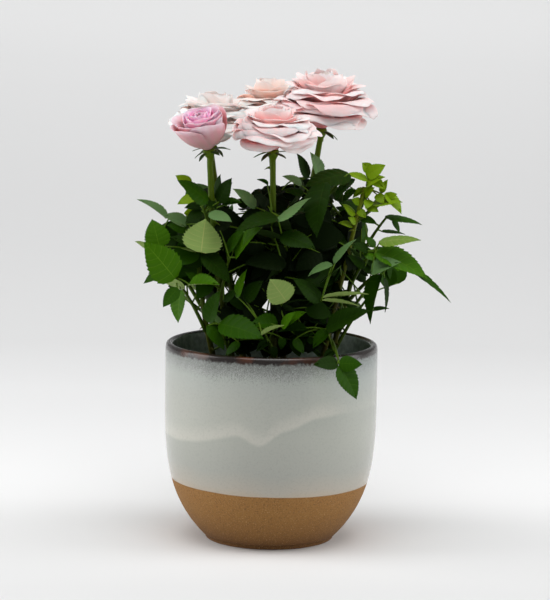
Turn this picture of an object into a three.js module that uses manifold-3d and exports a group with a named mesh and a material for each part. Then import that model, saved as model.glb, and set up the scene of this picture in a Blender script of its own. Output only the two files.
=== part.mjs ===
// A potted rose bush in flower: a glazed stoneware pot, its potting soil, the canes that rise
// from it, the blooms on the canes' tips and the leafy sprays that grow from the canes.
//
// Millimetres, +Z up. The origin is the middle of the pot's flat underside and the front is -Y.
// Bearings are degrees round the pot's axis from +X, and rises are degrees above the horizon.

import * as THREE from "three";
import { mergeVertices } from "three/addons/utils/BufferGeometryUtils.js";
import Module from "manifold-3d";

const wasm = await Module();
wasm.setup();

// Driving dimensions
const CLEARANCE = 0.3;
const SPARE = 0.2; // what is added to the clearance where a gap is tested on simpler shapes
const JOIN_TOLERANCE = 0.03;
const POT = {
  height: 140,
  belly: 75.2, // radius of the widest part
  rimWall: 5.2,
  wall: 6,
  floor: 9,
  shoulder: 122, // height where the side starts to curve in towards the foot
  tuck: 31, // how far the curve has come in at the foot's level
  tuckPower: 4.2,
  lip: 0.4, // how far the side draws in again from the shoulder to the rim
  footRadius: 45.6,
  footHeight: 3.2,
  footEdge: 0.8, // the small slope round the underside
  outerHeights: [3.4, 9, 16, 25, 36, 50, 70, 95, 122],
  innerHeights: [132, 95, 60, 36, 22],
  floorEdge: { rise: 4, inset: 3 }, // where the inner wall turns in to the floor
  segments: 34,
};
const SOIL_TOP = 104;
const SOIL_SEGMENTS = 24;
const SOIL = { heights: [22, 36, 60, 95], inset: 0.5, floorInset: 4 };
const CANE_SIDES = 6;
const CANE_STEPS = 5;
const HIP = { radius: 4.2, height: 5.5 };
const SEPAL = { length: 13.5, width: 4.2, count: 5, rise: -24, firstBearing: 20 };
const TWIG_RADIUS = { root: 1.5, tip: 0.8 };
const STALK_RADIUS = { root: 0.95, tip: 0.7 };
const TWIG_STEPS = 3;
const LEAF = {
  widthShare: 0.8,
  widest: 0.42, // where along it the blade is widest
  thickness: 0.9,
  sink: 0.8,
  overlap: 0.35,
  fewest: 2,
  foldShare: 0.07,
  droopShare: 0.1,
};
// How a leaf's pairs of leaflets stand on its stalk: the place of the first pair and the step to
// the next, their size and its loss from pair to pair, the angle off the stalk, each with the
// share that is left to chance.
const PAIRS = {
  count: 2,
  place: [0.9, 0.27],
  size: [0.88, 0.14],
  sizeChance: [0.9, 0.15],
  turn: [58, 14],
  tilt: 0.25,
};
// How a whole leaf leaves its stem: the share of the stem's direction in its heading, its stalk's
// length and its size with their shares of chance, its droop, and how far its upper side looks
// up and away from the cane.
const SIDE_LEAF = { heading: 0.45, stalk: [0.75, 0.5], size: [0.8, 0.2], droop: 0.35, light: [0.75, 0.8] };
const PETAL = {
  thickness: 1.3,
  across: 3,
  along: 3,
  steps: 6,
  wrapRadius: 7,
  width: [18, 1.04],
  claw: [0.3, 0.62], // the claw's share of the width, and how far up the petal it ends
  taper: 0.2,
  corner: 0.2,
  seatRadius: [1.5, 3.2],
  seatRise: 5,
  seatDrop: 2.6,
  lift: [2, -1.5],
};
const HEART = [[0, 0], [4, 0], [6.5, 2.5], [5, 7], [0, 10]];
const NEIGHBOUR_SPREAD = 24;
const BLOOM_GAP = 1.2;
const GOLDEN = 137.508;
const SIDE_LEAVES = 4;
const YOUNG_SIDE_LEAVES = 2;
// The space that the leaves keep to, as heights and reaches from the pot's axis. Only the leaflet
// at the end of a spray's own stem may stand out of it.
const CROWN = [
  [112, 58],
  [142, 80],
  [150, 84],
  [178, 90],
  [198, 102],
  [220, 100],
  [240, 90],
  [262, 72],
  [285, 30],
];
// The bends that a spray's stem may take, as shares of its length: upwards, then sideways.
const STEM_LIFTS = [0.12, 0.25, 0, -0.12];
const STEM_SWAYS = [0, 0.15, -0.15, 0.3, -0.3];
const STEM_BENDS = STEM_LIFTS.flatMap((lift) => STEM_SWAYS.map((sway) => [lift, sway]));

// Each cane: its foot on the soil, its tip, and how far its middle bows sideways (x, y).
const CANES = [
  { name: "cane_right", foot: [-3, 16], tip: [32.6, 20, 284.8], bow: [4, -9], radius: [2.6, 2.0] },
  { name: "cane_front", foot: [2, -16], tip: [-1, -24, 272.7], bow: [0, 3], radius: [2.6, 2.0] },
  { name: "cane_left", foot: [-22, -14], tip: [-44.2, -36, 274], bow: [-9, 0], radius: [2.5, 2.0] },
  { name: "cane_back_left", foot: [-16, 16], tip: [-45, 27, 271], bow: [-2, 6], radius: [2.4, 1.9] },
  { name: "cane_back", foot: [10, 22], tip: [-3, 62, 281], bow: [0, 4], radius: [2.4, 1.9] },
  { name: "cane_young", foot: [30, -10], tip: [63, -12, 252], bow: [0, -4], radius: [2.0, 1.3] },
  { name: "cane_side_left", foot: [-33, -2], tip: [-51, -30, 199], bow: [-7, -4], radius: [2.2, 1.5] },
  { name: "cane_side_right", foot: [34, 10], tip: [60, 4, 206], bow: [4, 2], radius: [2.2, 1.5] },
];

// How a bloom opens. Its petals end on a dome: from is the innermost petal's angle on it from the
// top and to is the outermost one's, and bend is how far a petal turns in (or out, below zero).
const OPEN = { from: 8, to: 94, power: 0.76, bend: [34, -12] };
const CUP = { from: 8, to: 70, power: 1.0, bend: [28, 40] };
// Each bloom: the cane that carries it, the reach and height of its dome and how far the dome's
// middle lies above the hip, its axis's lean (bearing, degrees off upright) and its petals.
const BLOOMS = [
  ["bloom_right", "cane_right", 39.5, 26.5, 14, [-60, 4], 15, OPEN],
  ["bloom_front", "cane_front", 34, 18, 12, [-90, 6], 13, OPEN],
  ["bloom_left", "cane_left", 20.5, 5, 21, [-125, 22], 10, CUP],
  ["bloom_back_left", "cane_back_left", 30, 24, 14, [178, 7], 12, OPEN],
  ["bloom_back", "cane_back", 25, 20, 15, [110, 4], 11, OPEN],
].map(([name, cane, reach, rise, middle, lean, petals, habit]) => ({
  name,
  cane,
  reach,
  rise,
  middle,
  lean,
  petals,
  habit,
}));

// Each spray: the cane and the height that it grows from, where its stem ends (bearing, distance
// from the pot's axis, height), where the leaflet at its end points, which way that leaflet's
// upper side looks, and that leaflet's length. The young ones are marked at the end.
const SPRAYS = [
  ["spray_front_left_low", "cane_left", 128, [-125, 64, 160], [-18, -11], [-90, 40], 33],
  ["spray_left", "cane_side_left", 150, [-151, 77, 189], [-163, 49], [-95, 15], 33],
  ["spray_left_light", "cane_side_left", 190, [-143, 67, 209], [76, 70], [90, 30], 29],
  ["spray_left_far", "cane_side_left", 168, [-170, 82, 209], [-153, 77], [-90, 0], 26],
  ["spray_upper_left", "cane_back_left", 190, [-175, 76, 230], [-169, 29], [90, 70], 25],
  ["spray_young_left", "cane_back_left", 205, [170, 59, 242], [170, 52], [-90, 20], 20, true],
  ["spray_crown_left", "cane_left", 215, [-140, 64, 240], [-169, 37], [-80, 40], 28],
  ["spray_crown_left_front", "cane_left", 200, [-133, 63, 236], [-29, -19], [-90, 50], 22],
  ["spray_crown_front", "cane_front", 205, [-92, 34, 235], [-9, 29], [-60, 80], 30],
  ["spray_centre_left", "cane_left", 178, [-124, 53, 205], [-10, 39], [-110, 50], 31],
  ["spray_centre_dark", "cane_front", 175, [-80, 41, 200], [-163, 4], [-90, 55], 31],
  ["spray_centre_light", "cane_front", 150, [-82, 53, 177], [171, 40], [90, 20], 21],
  ["spray_front_low", "cane_front", 132, [-100, 53, 162], [-17, 9], [-90, 65], 30],
  ["spray_crown_right_up", "cane_right", 222, [35, 17, 254], [168, 61], [-90, -10], 22],
  ["spray_crown_right", "cane_right", 215, [-24, 54, 260], [-157, -14], [-90, 45], 32],
  ["spray_right_hanging", "cane_right", 205, [-47, 52, 255], [-133, -76], [-90, 10], 35],
  ["spray_young_right_top", "cane_young", 238, [-8, 71, 257], [-14, 50], [-90, 10], 19, true],
  ["spray_young_right", "cane_young", 228, [-10, 78, 241], [-32, -7], [-90, 40], 18, true],
  ["spray_right_top", "cane_side_right", 195, [-6, 80, 231], [-5, -10], [-90, 65], 26],
  ["spray_right_light", "cane_side_right", 182, [-24, 78, 210], [-8, 13], [90, 55], 32],
  ["spray_right_far", "cane_side_right", 168, [-17, 89, 201], [-6, -35], [30, 60], 44],
  ["spray_right_low", "cane_side_right", 148, [-14, 76, 189], [-32, -82], [-60, 5], 28],
  ["spray_right_front", "cane_right", 148, [-57, 62, 177], [-7, 8], [90, 75], 32],
  ["spray_right_front_low", "cane_right", 135, [-50, 58, 156], [-11, 28], [-90, 40], 34],
  ["spray_right_centre", "cane_right", 180, [-82, 44, 220], [-15, -14], [-90, 40], 28],
  ["spray_trailing", "cane_young", 145, [-60, 91, 140], [-9, -61], [-90, 20], 26],
].map(([name, cane, from, end, leaf, face, size, young = false]) => ({
  name,
  cane,
  from,
  end,
  leaf,
  face,
  size,
  young,
}));
// The sprays of the far side, which follow one rule round the back in two tiers and a crown.
const BACK_TIERS = [
  { name: "spray_back_low", count: 5, bearings: [12, 168], radius: 76, height: 168, from: 135, size: 32 },
  { name: "spray_back_mid", count: 4, bearings: [28, 152], radius: 80, height: 208, from: 172, size: 31 },
  { name: "spray_back_top", count: 2, bearings: [52, 128], radius: 50, height: 244, from: 212, size: 28 },
];

const radians = THREE.MathUtils.degToRad;
const UP = new THREE.Vector3(0, 0, 1);
const lerp = THREE.MathUtils.lerp;

// The point at a bearing, a distance from the pot's axis and a height.
function polar(bearing, distance, height) {
  const angle = radians(bearing);
  return new THREE.Vector3(distance * Math.cos(angle), distance * Math.sin(angle), height);
}

// The unit vector with a bearing and a rise.
function aim(bearing, rise) {
  return polar(bearing, Math.cos(radians(rise)), Math.sin(radians(rise)));
}

// The part of a vector that is square to a unit vector, at unit length.
function squareTo(vector, axis) {
  return vector.clone().addScaledVector(axis, -vector.dot(axis)).normalize();
}

// Repeatable numbers from 0 to 1 that depend on the seed alone.
function draws(seed) {
  let state = (seed * 2654435761) >>> 0;
  return () => {
    state = (Math.imul(state, 1664525) + 1013904223) >>> 0;
    return state / 4294967296;
  };
}

function geometryOf(points, faces) {
  const geometry = new THREE.BufferGeometry();
  const numbers = points.flatMap((p) => p.toArray());
  geometry.setAttribute("position", new THREE.Float32BufferAttribute(numbers, 3));
  geometry.setIndex(faces.flat());
  return geometry;
}

// A closed geometry as a solid that can be joined and cut.
function solidOf(geometry) {
  const bare = geometry.clone();
  bare.deleteAttribute("normal");
  bare.deleteAttribute("uv");
  const merged = mergeVertices(bare, 1e-4);
  return new wasm.Manifold(
    new wasm.Mesh({
      numProp: 3,
      vertProperties: merged.attributes.position.array,
      triVerts: new Uint32Array(merged.index.array),
    }),
  );
}

// The pieces joined to one solid, with edges shorter than the tolerance closed up.
function joined(pieces) {
  return wasm.Manifold.union(pieces).setTolerance(JOIN_TOLERANCE);
}

function geometryOfSolid(solid) {
  const mesh = solid.getMesh();
  const geometry = new THREE.BufferGeometry();
  const positions = new Float32Array(mesh.numVert * 3);
  for (let i = 0; i < mesh.numVert; i++) {
    positions.set(mesh.vertProperties.subarray(i * mesh.numProp, i * mesh.numProp + 3), i * 3);
  }
  geometry.setAttribute("position", new THREE.BufferAttribute(positions, 3));
  geometry.setIndex(new THREE.BufferAttribute(new Uint32Array(mesh.triVerts), 1));
  geometry.computeVertexNormals();
  return geometry;
}

// A tapering tube of flat facets through the centres, with flat ends. Each ring is square to the
// tube there, and its first corner is carried along without twist.
function taperedTube(centres, radii, sides, firstTangent) {
  const last = centres.length - 1;
  const tangents = centres.map((c, i) =>
    centres[Math.min(i + 1, last)].clone().sub(centres[Math.max(i - 1, 0)]).normalize(),
  );
  if (firstTangent) tangents[0] = firstTangent.clone();
  const helper = Math.abs(tangents[0].z) < 0.9 ? UP : new THREE.Vector3(1, 0, 0);
  let side = new THREE.Vector3().crossVectors(tangents[0], helper).normalize();
  const points = [];
  centres.forEach((centre, i) => {
    side = squareTo(side, tangents[i]);
    const other = new THREE.Vector3().crossVectors(tangents[i], side);
    for (let k = 0; k < sides; k++) {
      const angle = (2 * Math.PI * k) / sides;
      points.push(
        centre
          .clone()
          .addScaledVector(side, radii[i] * Math.cos(angle))
          .addScaledVector(other, radii[i] * Math.sin(angle)),
      );
    }
  });
  const faces = [];
  for (let i = 0; i < last; i++) {
    for (let k = 0; k < sides; k++) {
      const a = i * sides + k;
      const b = i * sides + ((k + 1) % sides);
      faces.push([a, b, b + sides], [a, b + sides, a + sides]);
    }
  }
  for (let k = 1; k < sides - 1; k++) {
    faces.push([0, k + 1, k], [last * sides, last * sides + k, last * sides + k + 1]);
  }
  return geometryOf(points, faces);
}

// A solid turned from a profile of (radius, height) that starts and ends on the axis.
function turned(profile, segments) {
  const lathe = new THREE.LatheGeometry(profile.map(([r, z]) => new THREE.Vector2(r, z)), segments);
  lathe.rotateX(Math.PI / 2);
  return lathe;
}

// Outer radius of the pot at a height: a straight side that tucks in to the foot by a power law.
function potRadius(height) {
  const below = Math.max(0, POT.shoulder - height) / POT.shoulder;
  const lip = Math.max(0, height - POT.shoulder) / (POT.height - POT.shoulder);
  return POT.belly - POT.tuck * below ** POT.tuckPower - POT.lip * lip * lip;
}

function potProfile() {
  const { height, rimWall, wall, floor, footRadius, footHeight, footEdge, floorEdge } = POT;
  const outer = POT.outerHeights.map((z) => [potRadius(z), z]);
  const bead = rimWall / 2;
  const middle = potRadius(height) - bead;
  const rim = [0, 45, 90, 135, 180].map((degrees) => [
    middle + bead * Math.cos(radians(degrees)),
    height - bead + bead * Math.sin(radians(degrees)),
  ]);
  const inner = POT.innerHeights.map((z) => [potRadius(z) - wall, z]);
  return [
    [0, 0],
    [footRadius - footEdge, 0],
    [footRadius, footEdge],
    [footRadius, footHeight],
    ...outer,
    ...rim,
    ...inner,
    [potRadius(floor + floorEdge.rise) - wall - floorEdge.inset, floor],
    [0, floor],
  ];
}

function soilProfile() {
  const gap = CLEARANCE + SPARE;
  const wallAt = (z) => potRadius(z) - POT.wall - gap;
  return [
    [0, POT.floor + gap],
    [wallAt(POT.floor + POT.floorEdge.rise) - SOIL.floorInset, POT.floor + gap],
    ...SOIL.heights.map((z) => [wallAt(z) - SOIL.inset, z]),
    [wallAt(SOIL_TOP) - SOIL.inset, SOIL_TOP],
    [0, SOIL_TOP],
  ];
}

// A cane's centre line, from its foot on the soil to its tip.
function caneCurve(cane) {
  const foot = new THREE.Vector3(cane.foot[0], cane.foot[1], SOIL_TOP + CLEARANCE);
  const tip = new THREE.Vector3(...cane.tip);
  const middle = foot.clone().lerp(tip, 0.5).add(new THREE.Vector3(cane.bow[0], cane.bow[1], 0));
  return new THREE.QuadraticBezierCurve3(foot, middle, tip);
}

// The point of a cane at a height, with its radius and direction there.
function caneAt(cane, height) {
  const curve = caneCurve(cane);
  const share = (height - curve.v0.z) / (curve.v2.z - curve.v0.z);
  const radius = lerp(cane.radius[0], cane.radius[1], share);
  return { point: curve.getPoint(share), tangent: curve.getTangent(share), radius };
}

// The outline of a leaflet or sepal, as (across, along) shares of its width and length, from its
// root by its right edge to its point and its left edge.
const BLADE_OUTLINE = [
  [0, 0],
  [0.5, LEAF.widest],
  [0, 1],
  [-0.5, LEAF.widest],
];

// A thin leaf blade of eight faces, folded a little along its midrib and drooping to its point.
function blade({ root, along, face, length, width }) {
  const across = new THREE.Vector3().crossVectors(along, face);
  const fold = LEAF.foldShare * width;
  const droop = LEAF.droopShare * length;
  const at = (x, y, z) =>
    root.clone().addScaledVector(across, x).addScaledVector(along, y).addScaledVector(face, z);
  const outline = BLADE_OUTLINE.map(([x, y]) =>
    at(x * width, y * length, Math.abs(x) * 2 * fold - droop * y * y),
  );
  const middles = [1, -1].map((side) => at(0, LEAF.widest * length, (side * LEAF.thickness) / 2));
  const points = [...outline, ...middles];
  const faces = BLADE_OUTLINE.flatMap((p, i) => {
    const next = (i + 1) % BLADE_OUTLINE.length;
    return [[4, i, next], [5, next, i]];
  });
  const edges = outline.map((p, i) => outline[(i + 1) % outline.length].clone().sub(p).normalize());
  const normals = [face, ...edges.map((e) => e.clone().cross(face))];
  return { points, faces, hull: hullOf(points, normals, edges) };
}

// What the clearance test needs of a convex piece: its corners, its faces' normals and its edges.
function hullOf(points, normals, edges) {
  const total = points.reduce((sum, p) => sum.add(p), new THREE.Vector3());
  const centre = total.divideScalar(points.length);
  const radius = Math.max(...points.map((p) => p.distanceTo(centre)));
  return { points, normals, edges, centre, radius };
}

// A straight stretch of stem as a convex piece with a square section.
function stretch(a, b, radius) {
  const along = b.clone().sub(a).normalize();
  const helper = Math.abs(along.z) < 0.9 ? UP : new THREE.Vector3(1, 0, 0);
  const side = new THREE.Vector3().crossVectors(along, helper).normalize();
  const other = new THREE.Vector3().crossVectors(along, side);
  const points = [a, b].flatMap((end) =>
    [[1, 1], [1, -1], [-1, 1], [-1, -1]].map(([i, j]) =>
      end.clone().addScaledVector(side, i * radius).addScaledVector(other, j * radius),
    ),
  );
  return hullOf(points, [along, side, other], [along, side, other]);
}

// How far apart two convex pieces are along the best of their separating directions.
function gapBetween(a, b) {
  const apart = a.centre.distanceTo(b.centre) - a.radius - b.radius;
  if (apart > 1) return apart;
  const directions = [...a.normals, ...b.normals];
  for (const e of a.edges) {
    for (const f of b.edges) {
      const normal = new THREE.Vector3().crossVectors(e, f);
      if (normal.lengthSq() > 1e-6) directions.push(normal.normalize());
    }
  }
  let best = -Infinity;
  for (const n of directions) {
    const spanA = a.points.map((p) => p.dot(n));
    const spanB = b.points.map((p) => p.dot(n));
    const before = Math.min(...spanA) - Math.max(...spanB);
    const after = Math.min(...spanB) - Math.max(...spanA);
    best = Math.max(best, before, after);
  }
  return best;
}

// How far the leaves and stems keep from the pot's wall, inside, outside and above, and the soil.
const POT_ROOM = { inside: 1.5, outside: 0.9, top: 0.8, soil: 1 };

// Whether a convex piece keeps clear of the pot's wall and of the soil.
function clearOfPot(hull) {
  const inside = POT.belly - POT.rimWall - POT_ROOM.inside;
  const outside = POT.belly + POT_ROOM.outside;
  const top = POT.height + POT_ROOM.top;
  for (const a of hull.points) {
    for (const b of hull.points) {
      for (let share = 0; share <= 1; share += 0.125) {
        const p = a.clone().lerp(b, share);
        const radius = Math.hypot(p.x, p.y);
        if (p.z < top && radius > inside && radius < outside) return false;
        if (p.z < SOIL_TOP + POT_ROOM.soil && radius < outside) return false;
      }
    }
  }
  return true;
}

// The crown's reach from the pot's axis at a height.
function crownReach(height) {
  const above = CROWN.findIndex(([z]) => z > height);
  if (above < 1) return above === 0 ? CROWN[0][1] : 0;
  const [z0, r0] = CROWN[above - 1];
  const [z1, r1] = CROWN[above];
  return lerp(r0, r1, (height - z0) / (z1 - z0));
}

const insideCrown = (hull) => hull.points.every((p) => Math.hypot(p.x, p.y) < crownReach(p.z));

// Everything that a new twig or leaf has to keep clear of, by the node that it belongs to.
const taken = [];

function isClear(hull, owner) {
  return (
    clearOfPot(hull) &&
    taken.every((other) => other.owner === owner || gapBetween(hull, other.hull) > CLEARANCE + SPARE)
  );
}

// A stem through the points, with its stretches for the clearance test. Its first end is cut
// square to firstTangent where that is given.
function stemOf(points, radii, firstTangent) {
  const hulls = points.slice(1).map((p, i) => stretch(points[i], p, radii[i]));
  return { geometry: taperedTube(points, radii, 3, firstTangent), hulls };
}

// A pair of leaflets' directions, or the end leaflet's, on a stem that runs along with its leaves'
// upper sides towards face. turn is the angle that a leaflet stands off its stem, in degrees.
function leafletAim(along, face, turn, tilt) {
  const side = new THREE.Vector3().crossVectors(along, face);
  const direction = along
    .clone()
    .multiplyScalar(Math.cos(radians(turn)))
    .addScaledVector(side, Math.sin(radians(turn)))
    .addScaledVector(face, tilt)
    .normalize();
  return { along: direction, face: squareTo(face, direction) };
}

// The leaflets of one compound leaf, the end one first and then the pairs from the end inwards.
function leafletsOn({ line, face, end, size, random }) {
  const last = line.length - 1;
  const tangent = line[last].clone().sub(line[last - 1]).normalize();
  const endRoot = line[last].clone().addScaledVector(tangent, -LEAF.sink);
  const leaflets = [{ root: endRoot, ...end, length: size }];
  for (let pair = 0; pair < PAIRS.count; pair++) {
    const along = (PAIRS.place[0] - PAIRS.place[1] * pair) * last;
    const before = Math.floor(along);
    const root = line[before].clone().lerp(line[before + 1], along - before);
    for (const hand of [-1, 1]) {
      const turn = hand * (PAIRS.turn[0] + PAIRS.turn[1] * random());
      const tilt = PAIRS.tilt * (2 * random() - 1);
      const whole = size * (PAIRS.size[0] - PAIRS.size[1] * pair);
      const length = whole * (PAIRS.sizeChance[0] + PAIRS.sizeChance[1] * random());
      leaflets.push({ root, ...leafletAim(tangent, squareTo(face, tangent), turn, tilt), length });
    }
  }
  return leaflets;
}

// The blades of the leaflets that touch nothing of another node, don't run into the spray's other
// blades and stay in the crown, from which the first of them may stand out where free is true.
function clearBlades(blades, leaflets, owner, free) {
  const kept = [];
  for (const [i, leaflet] of leaflets.entries()) {
    const made = blade({ ...leaflet, width: LEAF.widthShare * leaflet.length });
    const own = [...blades, ...kept];
    const clash = own.some((other) => gapBetween(other.hull, made.hull) < -LEAF.overlap);
    const inSpace = (free && i === 0) || insideCrown(made.hull);
    if (inSpace && !clash && isClear(made.hull, owner)) kept.push(made);
  }
  return kept;
}

// Points of a stem that bends over from its start to its end.
function bentLine(start, end, lift, sway, steps) {
  const run = end.clone().sub(start);
  const middle = start.clone().lerp(end, 0.5).addScaledVector(UP, lift * run.length());
  middle.addScaledVector(new THREE.Vector3(-run.y, run.x, 0), sway);
  return new THREE.QuadraticBezierCurve3(start, middle, end).getPoints(steps);
}

// The radii of a stem that tapers evenly from its root to its tip.
function stemRadii(steps, root, tip) {
  return Array.from({ length: steps + 1 }, (_, i) => lerp(root, tip, i / steps));
}

// A spray's main stem, in the first of its possible bends that touches nothing. Its flat end
// faces the cane's side.
function mainStem(spray) {
  const cane = CANES.find((c) => c.name === spray.cane);
  const { point, tangent, radius } = caneAt(cane, spray.from);
  const end = polar(...spray.end);
  const flat = end.clone().sub(point).setZ(0).normalize();
  const out = squareTo(flat, tangent);
  const start = point.clone().addScaledVector(out, radius + CLEARANCE);
  const radii = stemRadii(TWIG_STEPS, TWIG_RADIUS.root, TWIG_RADIUS.tip);
  for (const [lift, sway] of STEM_BENDS) {
    const line = bentLine(start, end, lift, sway, TWIG_STEPS);
    const stem = stemOf(line, radii, out);
    if (stem.hulls.slice(1).every((hull) => isClear(hull, spray.name))) {
      stem.hulls.forEach((hull) => taken.push({ owner: spray.name, hull }));
      return { ...stem, line, flat };
    }
  }
  throw new Error(spray.name + ": its stem touches something");
}

// A spray: a stem with leaflets at its end, and whole leaves that turn off it by the golden angle.
function growSpray(spray, stem, seed) {
  const random = draws(seed);
  const { line, flat } = stem;
  const face = aim(...spray.face);
  const leafAlong = aim(...spray.leaf);
  const twigs = [stem.geometry];
  const end = { along: leafAlong, face: squareTo(face, leafAlong) };
  const first = leafletsOn({ line, face, end, size: spray.size, random });
  const blades = clearBlades([], first, spray.name, true);
  const axis = line[TWIG_STEPS].clone().sub(line[0]).normalize();
  const turnStart = 360 * random();
  const sides = spray.young ? YOUNG_SIDE_LEAVES : SIDE_LEAVES;
  for (let k = 0; k < sides; k++) {
    const root = line[1].clone().lerp(line[TWIG_STEPS - 1], k / (sides - 1));
    const off = squareTo(UP, axis).applyAxisAngle(axis, radians(turnStart + k * GOLDEN));
    const { heading: share, stalk: reach, size, droop, light: looks } = SIDE_LEAF;
    const heading = axis.clone().multiplyScalar(share).add(off).normalize();
    const tip = root.clone().addScaledVector(heading, spray.size * (reach[0] + reach[1] * random()));
    const light = UP.clone().multiplyScalar(looks[0]).addScaledVector(flat, looks[1]).normalize();
    const leafAim = heading.clone().addScaledVector(UP, -droop).normalize();
    const stalk = [root, tip];
    const twig = stemOf(stalk, [STALK_RADIUS.root, STALK_RADIUS.tip]);
    const leaflets = leafletsOn({
      line: stalk,
      face: light,
      end: { along: leafAim, face: squareTo(light, leafAim) },
      size: spray.size * (size[0] + size[1] * random()),
      random,
    });
    if (!twig.hulls.every((hull) => insideCrown(hull) && isClear(hull, spray.name))) continue;
    const kept = clearBlades(blades, leaflets, spray.name, false);
    if (kept.length < LEAF.fewest) continue;
    blades.push(...kept);
    twigs.push(twig.geometry);
    twig.hulls.forEach((hull) => taken.push({ owner: spray.name, hull }));
  }
  blades.forEach((made) => taken.push({ owner: spray.name, hull: made.hull }));
  const pieces = [...twigs, ...blades.map((made) => geometryOf(made.points, made.faces))];
  return geometryOfSolid(joined(pieces.map(solidOf)));
}

// The bloom's own frame: its seat on the cane's tip and three square axes, the third its axis.
function bloomFrame(bloom) {
  const cane = CANES.find((c) => c.name === bloom.cane);
  const [bearing, lean] = bloom.lean;
  const axis = aim(bearing, 90 - lean);
  const right = squareTo(new THREE.Vector3(1, 0, 0), axis);
  const forward = new THREE.Vector3().crossVectors(axis, right);
  return { tip: new THREE.Vector3(...cane.tip), right, forward, axis };
}

function placed(frame, x, y, z) {
  return frame.tip
    .clone()
    .addScaledVector(frame.right, x)
    .addScaledVector(frame.forward, y)
    .addScaledVector(frame.axis, z);
}

// How far a bloom may reach on a bearing before it meets a neighbouring bloom.
function roomTowards(bloom, bearing) {
  const centre = bloomFrame(bloom).tip;
  let room = bloom.reach;
  for (const other of BLOOMS) {
    if (other === bloom) continue;
    const away = bloomFrame(other).tip.clone().sub(centre).setZ(0);
    const border = (away.length() * bloom.reach) / (bloom.reach + other.reach) - BLOOM_GAP / 2;
    for (const spread of [-NEIGHBOUR_SPREAD, 0, NEIGHBOUR_SPREAD]) {
      const facing = polar(bearing + spread, 1, 0).dot(away.clone().normalize());
      if (facing > 0.05) room = Math.min(room, border / facing);
    }
  }
  return room;
}

// A petal's width at a share of its length: a narrow claw, a broad shoulder and a round end.
function petalWidth(v) {
  const [least, shoulder] = PETAL.claw;
  const claw = least + (1 - least) * Math.sin((Math.PI / 2) * Math.min(1, v / shoulder));
  const end = Math.max(0, v - shoulder) / (1 - shoulder);
  return claw * (1 - PETAL.taper * end * end);
}

// A petal's middle surface in the bloom's own frame: it leaves the seat at its start angle from
// upright, bends evenly to its end angle, and wraps round the bloom's axis.
function petalPoint(petal, u, share) {
  const v = share * (1 - PETAL.corner * u * u);
  let radius = petal.seat.x;
  let height = petal.seat.y;
  const { steps } = PETAL;
  for (let i = 0; i < steps; i++) {
    const angle = lerp(petal.start, petal.end, ((i + 0.5) / steps) * v);
    radius += ((petal.length * v) / steps) * Math.sin(angle);
    height += ((petal.length * v) / steps) * Math.cos(angle);
  }
  const half = (petal.width * petalWidth(v)) / 2;
  const turn = radians(petal.bearing) + (u * half) / Math.max(radius, PETAL.wrapRadius);
  height += petal.lift * u * u * v;
  return new THREE.Vector3(radius * Math.cos(turn), radius * Math.sin(turn), height);
}

// The bloom's petals from the innermost out. Each runs from the seat to its place on the dome, and
// its arc is as long as the straight line to there needs with the petal's bend.
function petalsOf(bloom) {
  const { habit } = bloom;
  return Array.from({ length: bloom.petals }, (_, i) => {
    const share = i / (bloom.petals - 1);
    const bearing = i * GOLDEN;
    const onDome = radians(lerp(habit.from, habit.to, share ** habit.power));
    const reach = Math.min(bloom.reach, roomTowards(bloom, bearing));
    const seat = new THREE.Vector2(
      PETAL.seatRadius[0] + PETAL.seatRadius[1] * share,
      HIP.height + PETAL.seatRise - PETAL.seatDrop * share,
    );
    const end = new THREE.Vector2(
      reach * Math.sin(onDome),
      HIP.height + bloom.middle + bloom.rise * Math.cos(onDome),
    );
    const run = end.clone().sub(seat);
    const slope = Math.atan2(run.x, run.y);
    const bend = radians(lerp(...habit.bend, share));
    return {
      bearing,
      seat,
      start: slope + bend,
      end: slope - bend,
      length: (run.length() * bend) / Math.sin(bend),
      width: lerp(PETAL.width[0], PETAL.width[1] * bloom.reach, share),
      lift: lerp(...PETAL.lift, share),
    };
  });
}

// A petal as a closed blade: two grids that share their outline and part in the middle.
function petalSolid(petal, frame) {
  const { across, along, thickness } = PETAL;
  const surface = (i, j) => petalPoint(petal, (2 * i) / across - 1, j / along);
  const points = [];
  const index = (i, j, layer) => {
    const inner = i > 0 && i < across && j > 0 && j < along;
    return (inner && layer ? (across + 1) * (along + 1) : 0) + j * (across + 1) + i;
  };
  for (const layer of [1, -1]) {
    for (let j = 0; j <= along; j++) {
      for (let i = 0; i <= across; i++) {
        const inner = i > 0 && i < across && j > 0 && j < along;
        const middle = surface(i, j);
        if (inner) {
          const acrossWay = surface(i + 1, j).sub(surface(i - 1, j));
          const alongWay = surface(i, j + 1).sub(surface(i, j - 1));
          const normal = acrossWay.cross(alongWay).normalize();
          middle.addScaledVector(normal, (layer * thickness) / 2);
        }
        points.push(placed(frame, middle.x, middle.y, middle.z));
      }
    }
  }
  const faces = [];
  for (let j = 0; j < along; j++) {
    for (let i = 0; i < across; i++) {
      const cell = [[i, j], [i + 1, j], [i + 1, j + 1], [i, j + 1]];
      const [a, b, c, d] = cell.map(([x, y]) => index(x, y, 0));
      const [e, f, g, h] = cell.map(([x, y]) => index(x, y, 1));
      faces.push([a, b, c], [a, c, d], [e, g, f], [e, h, g]);
    }
  }
  return solidOf(geometryOf(points, faces));
}

function placedTurned(frame, profile, segments) {
  const basis = new THREE.Matrix4().makeBasis(frame.right, frame.forward, frame.axis);
  return turned(profile, segments).applyMatrix4(basis.setPosition(frame.tip));
}

function bloomSolid(bloom) {
  const frame = bloomFrame(bloom);
  const seat = HIP.height + CLEARANCE;
  const core = placedTurned(frame, HEART.map(([r, z]) => [r, seat + z]), 10);
  const petals = petalsOf(bloom).map((petal) => petalSolid(petal, frame));
  return joined([solidOf(core), ...petals]);
}

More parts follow.
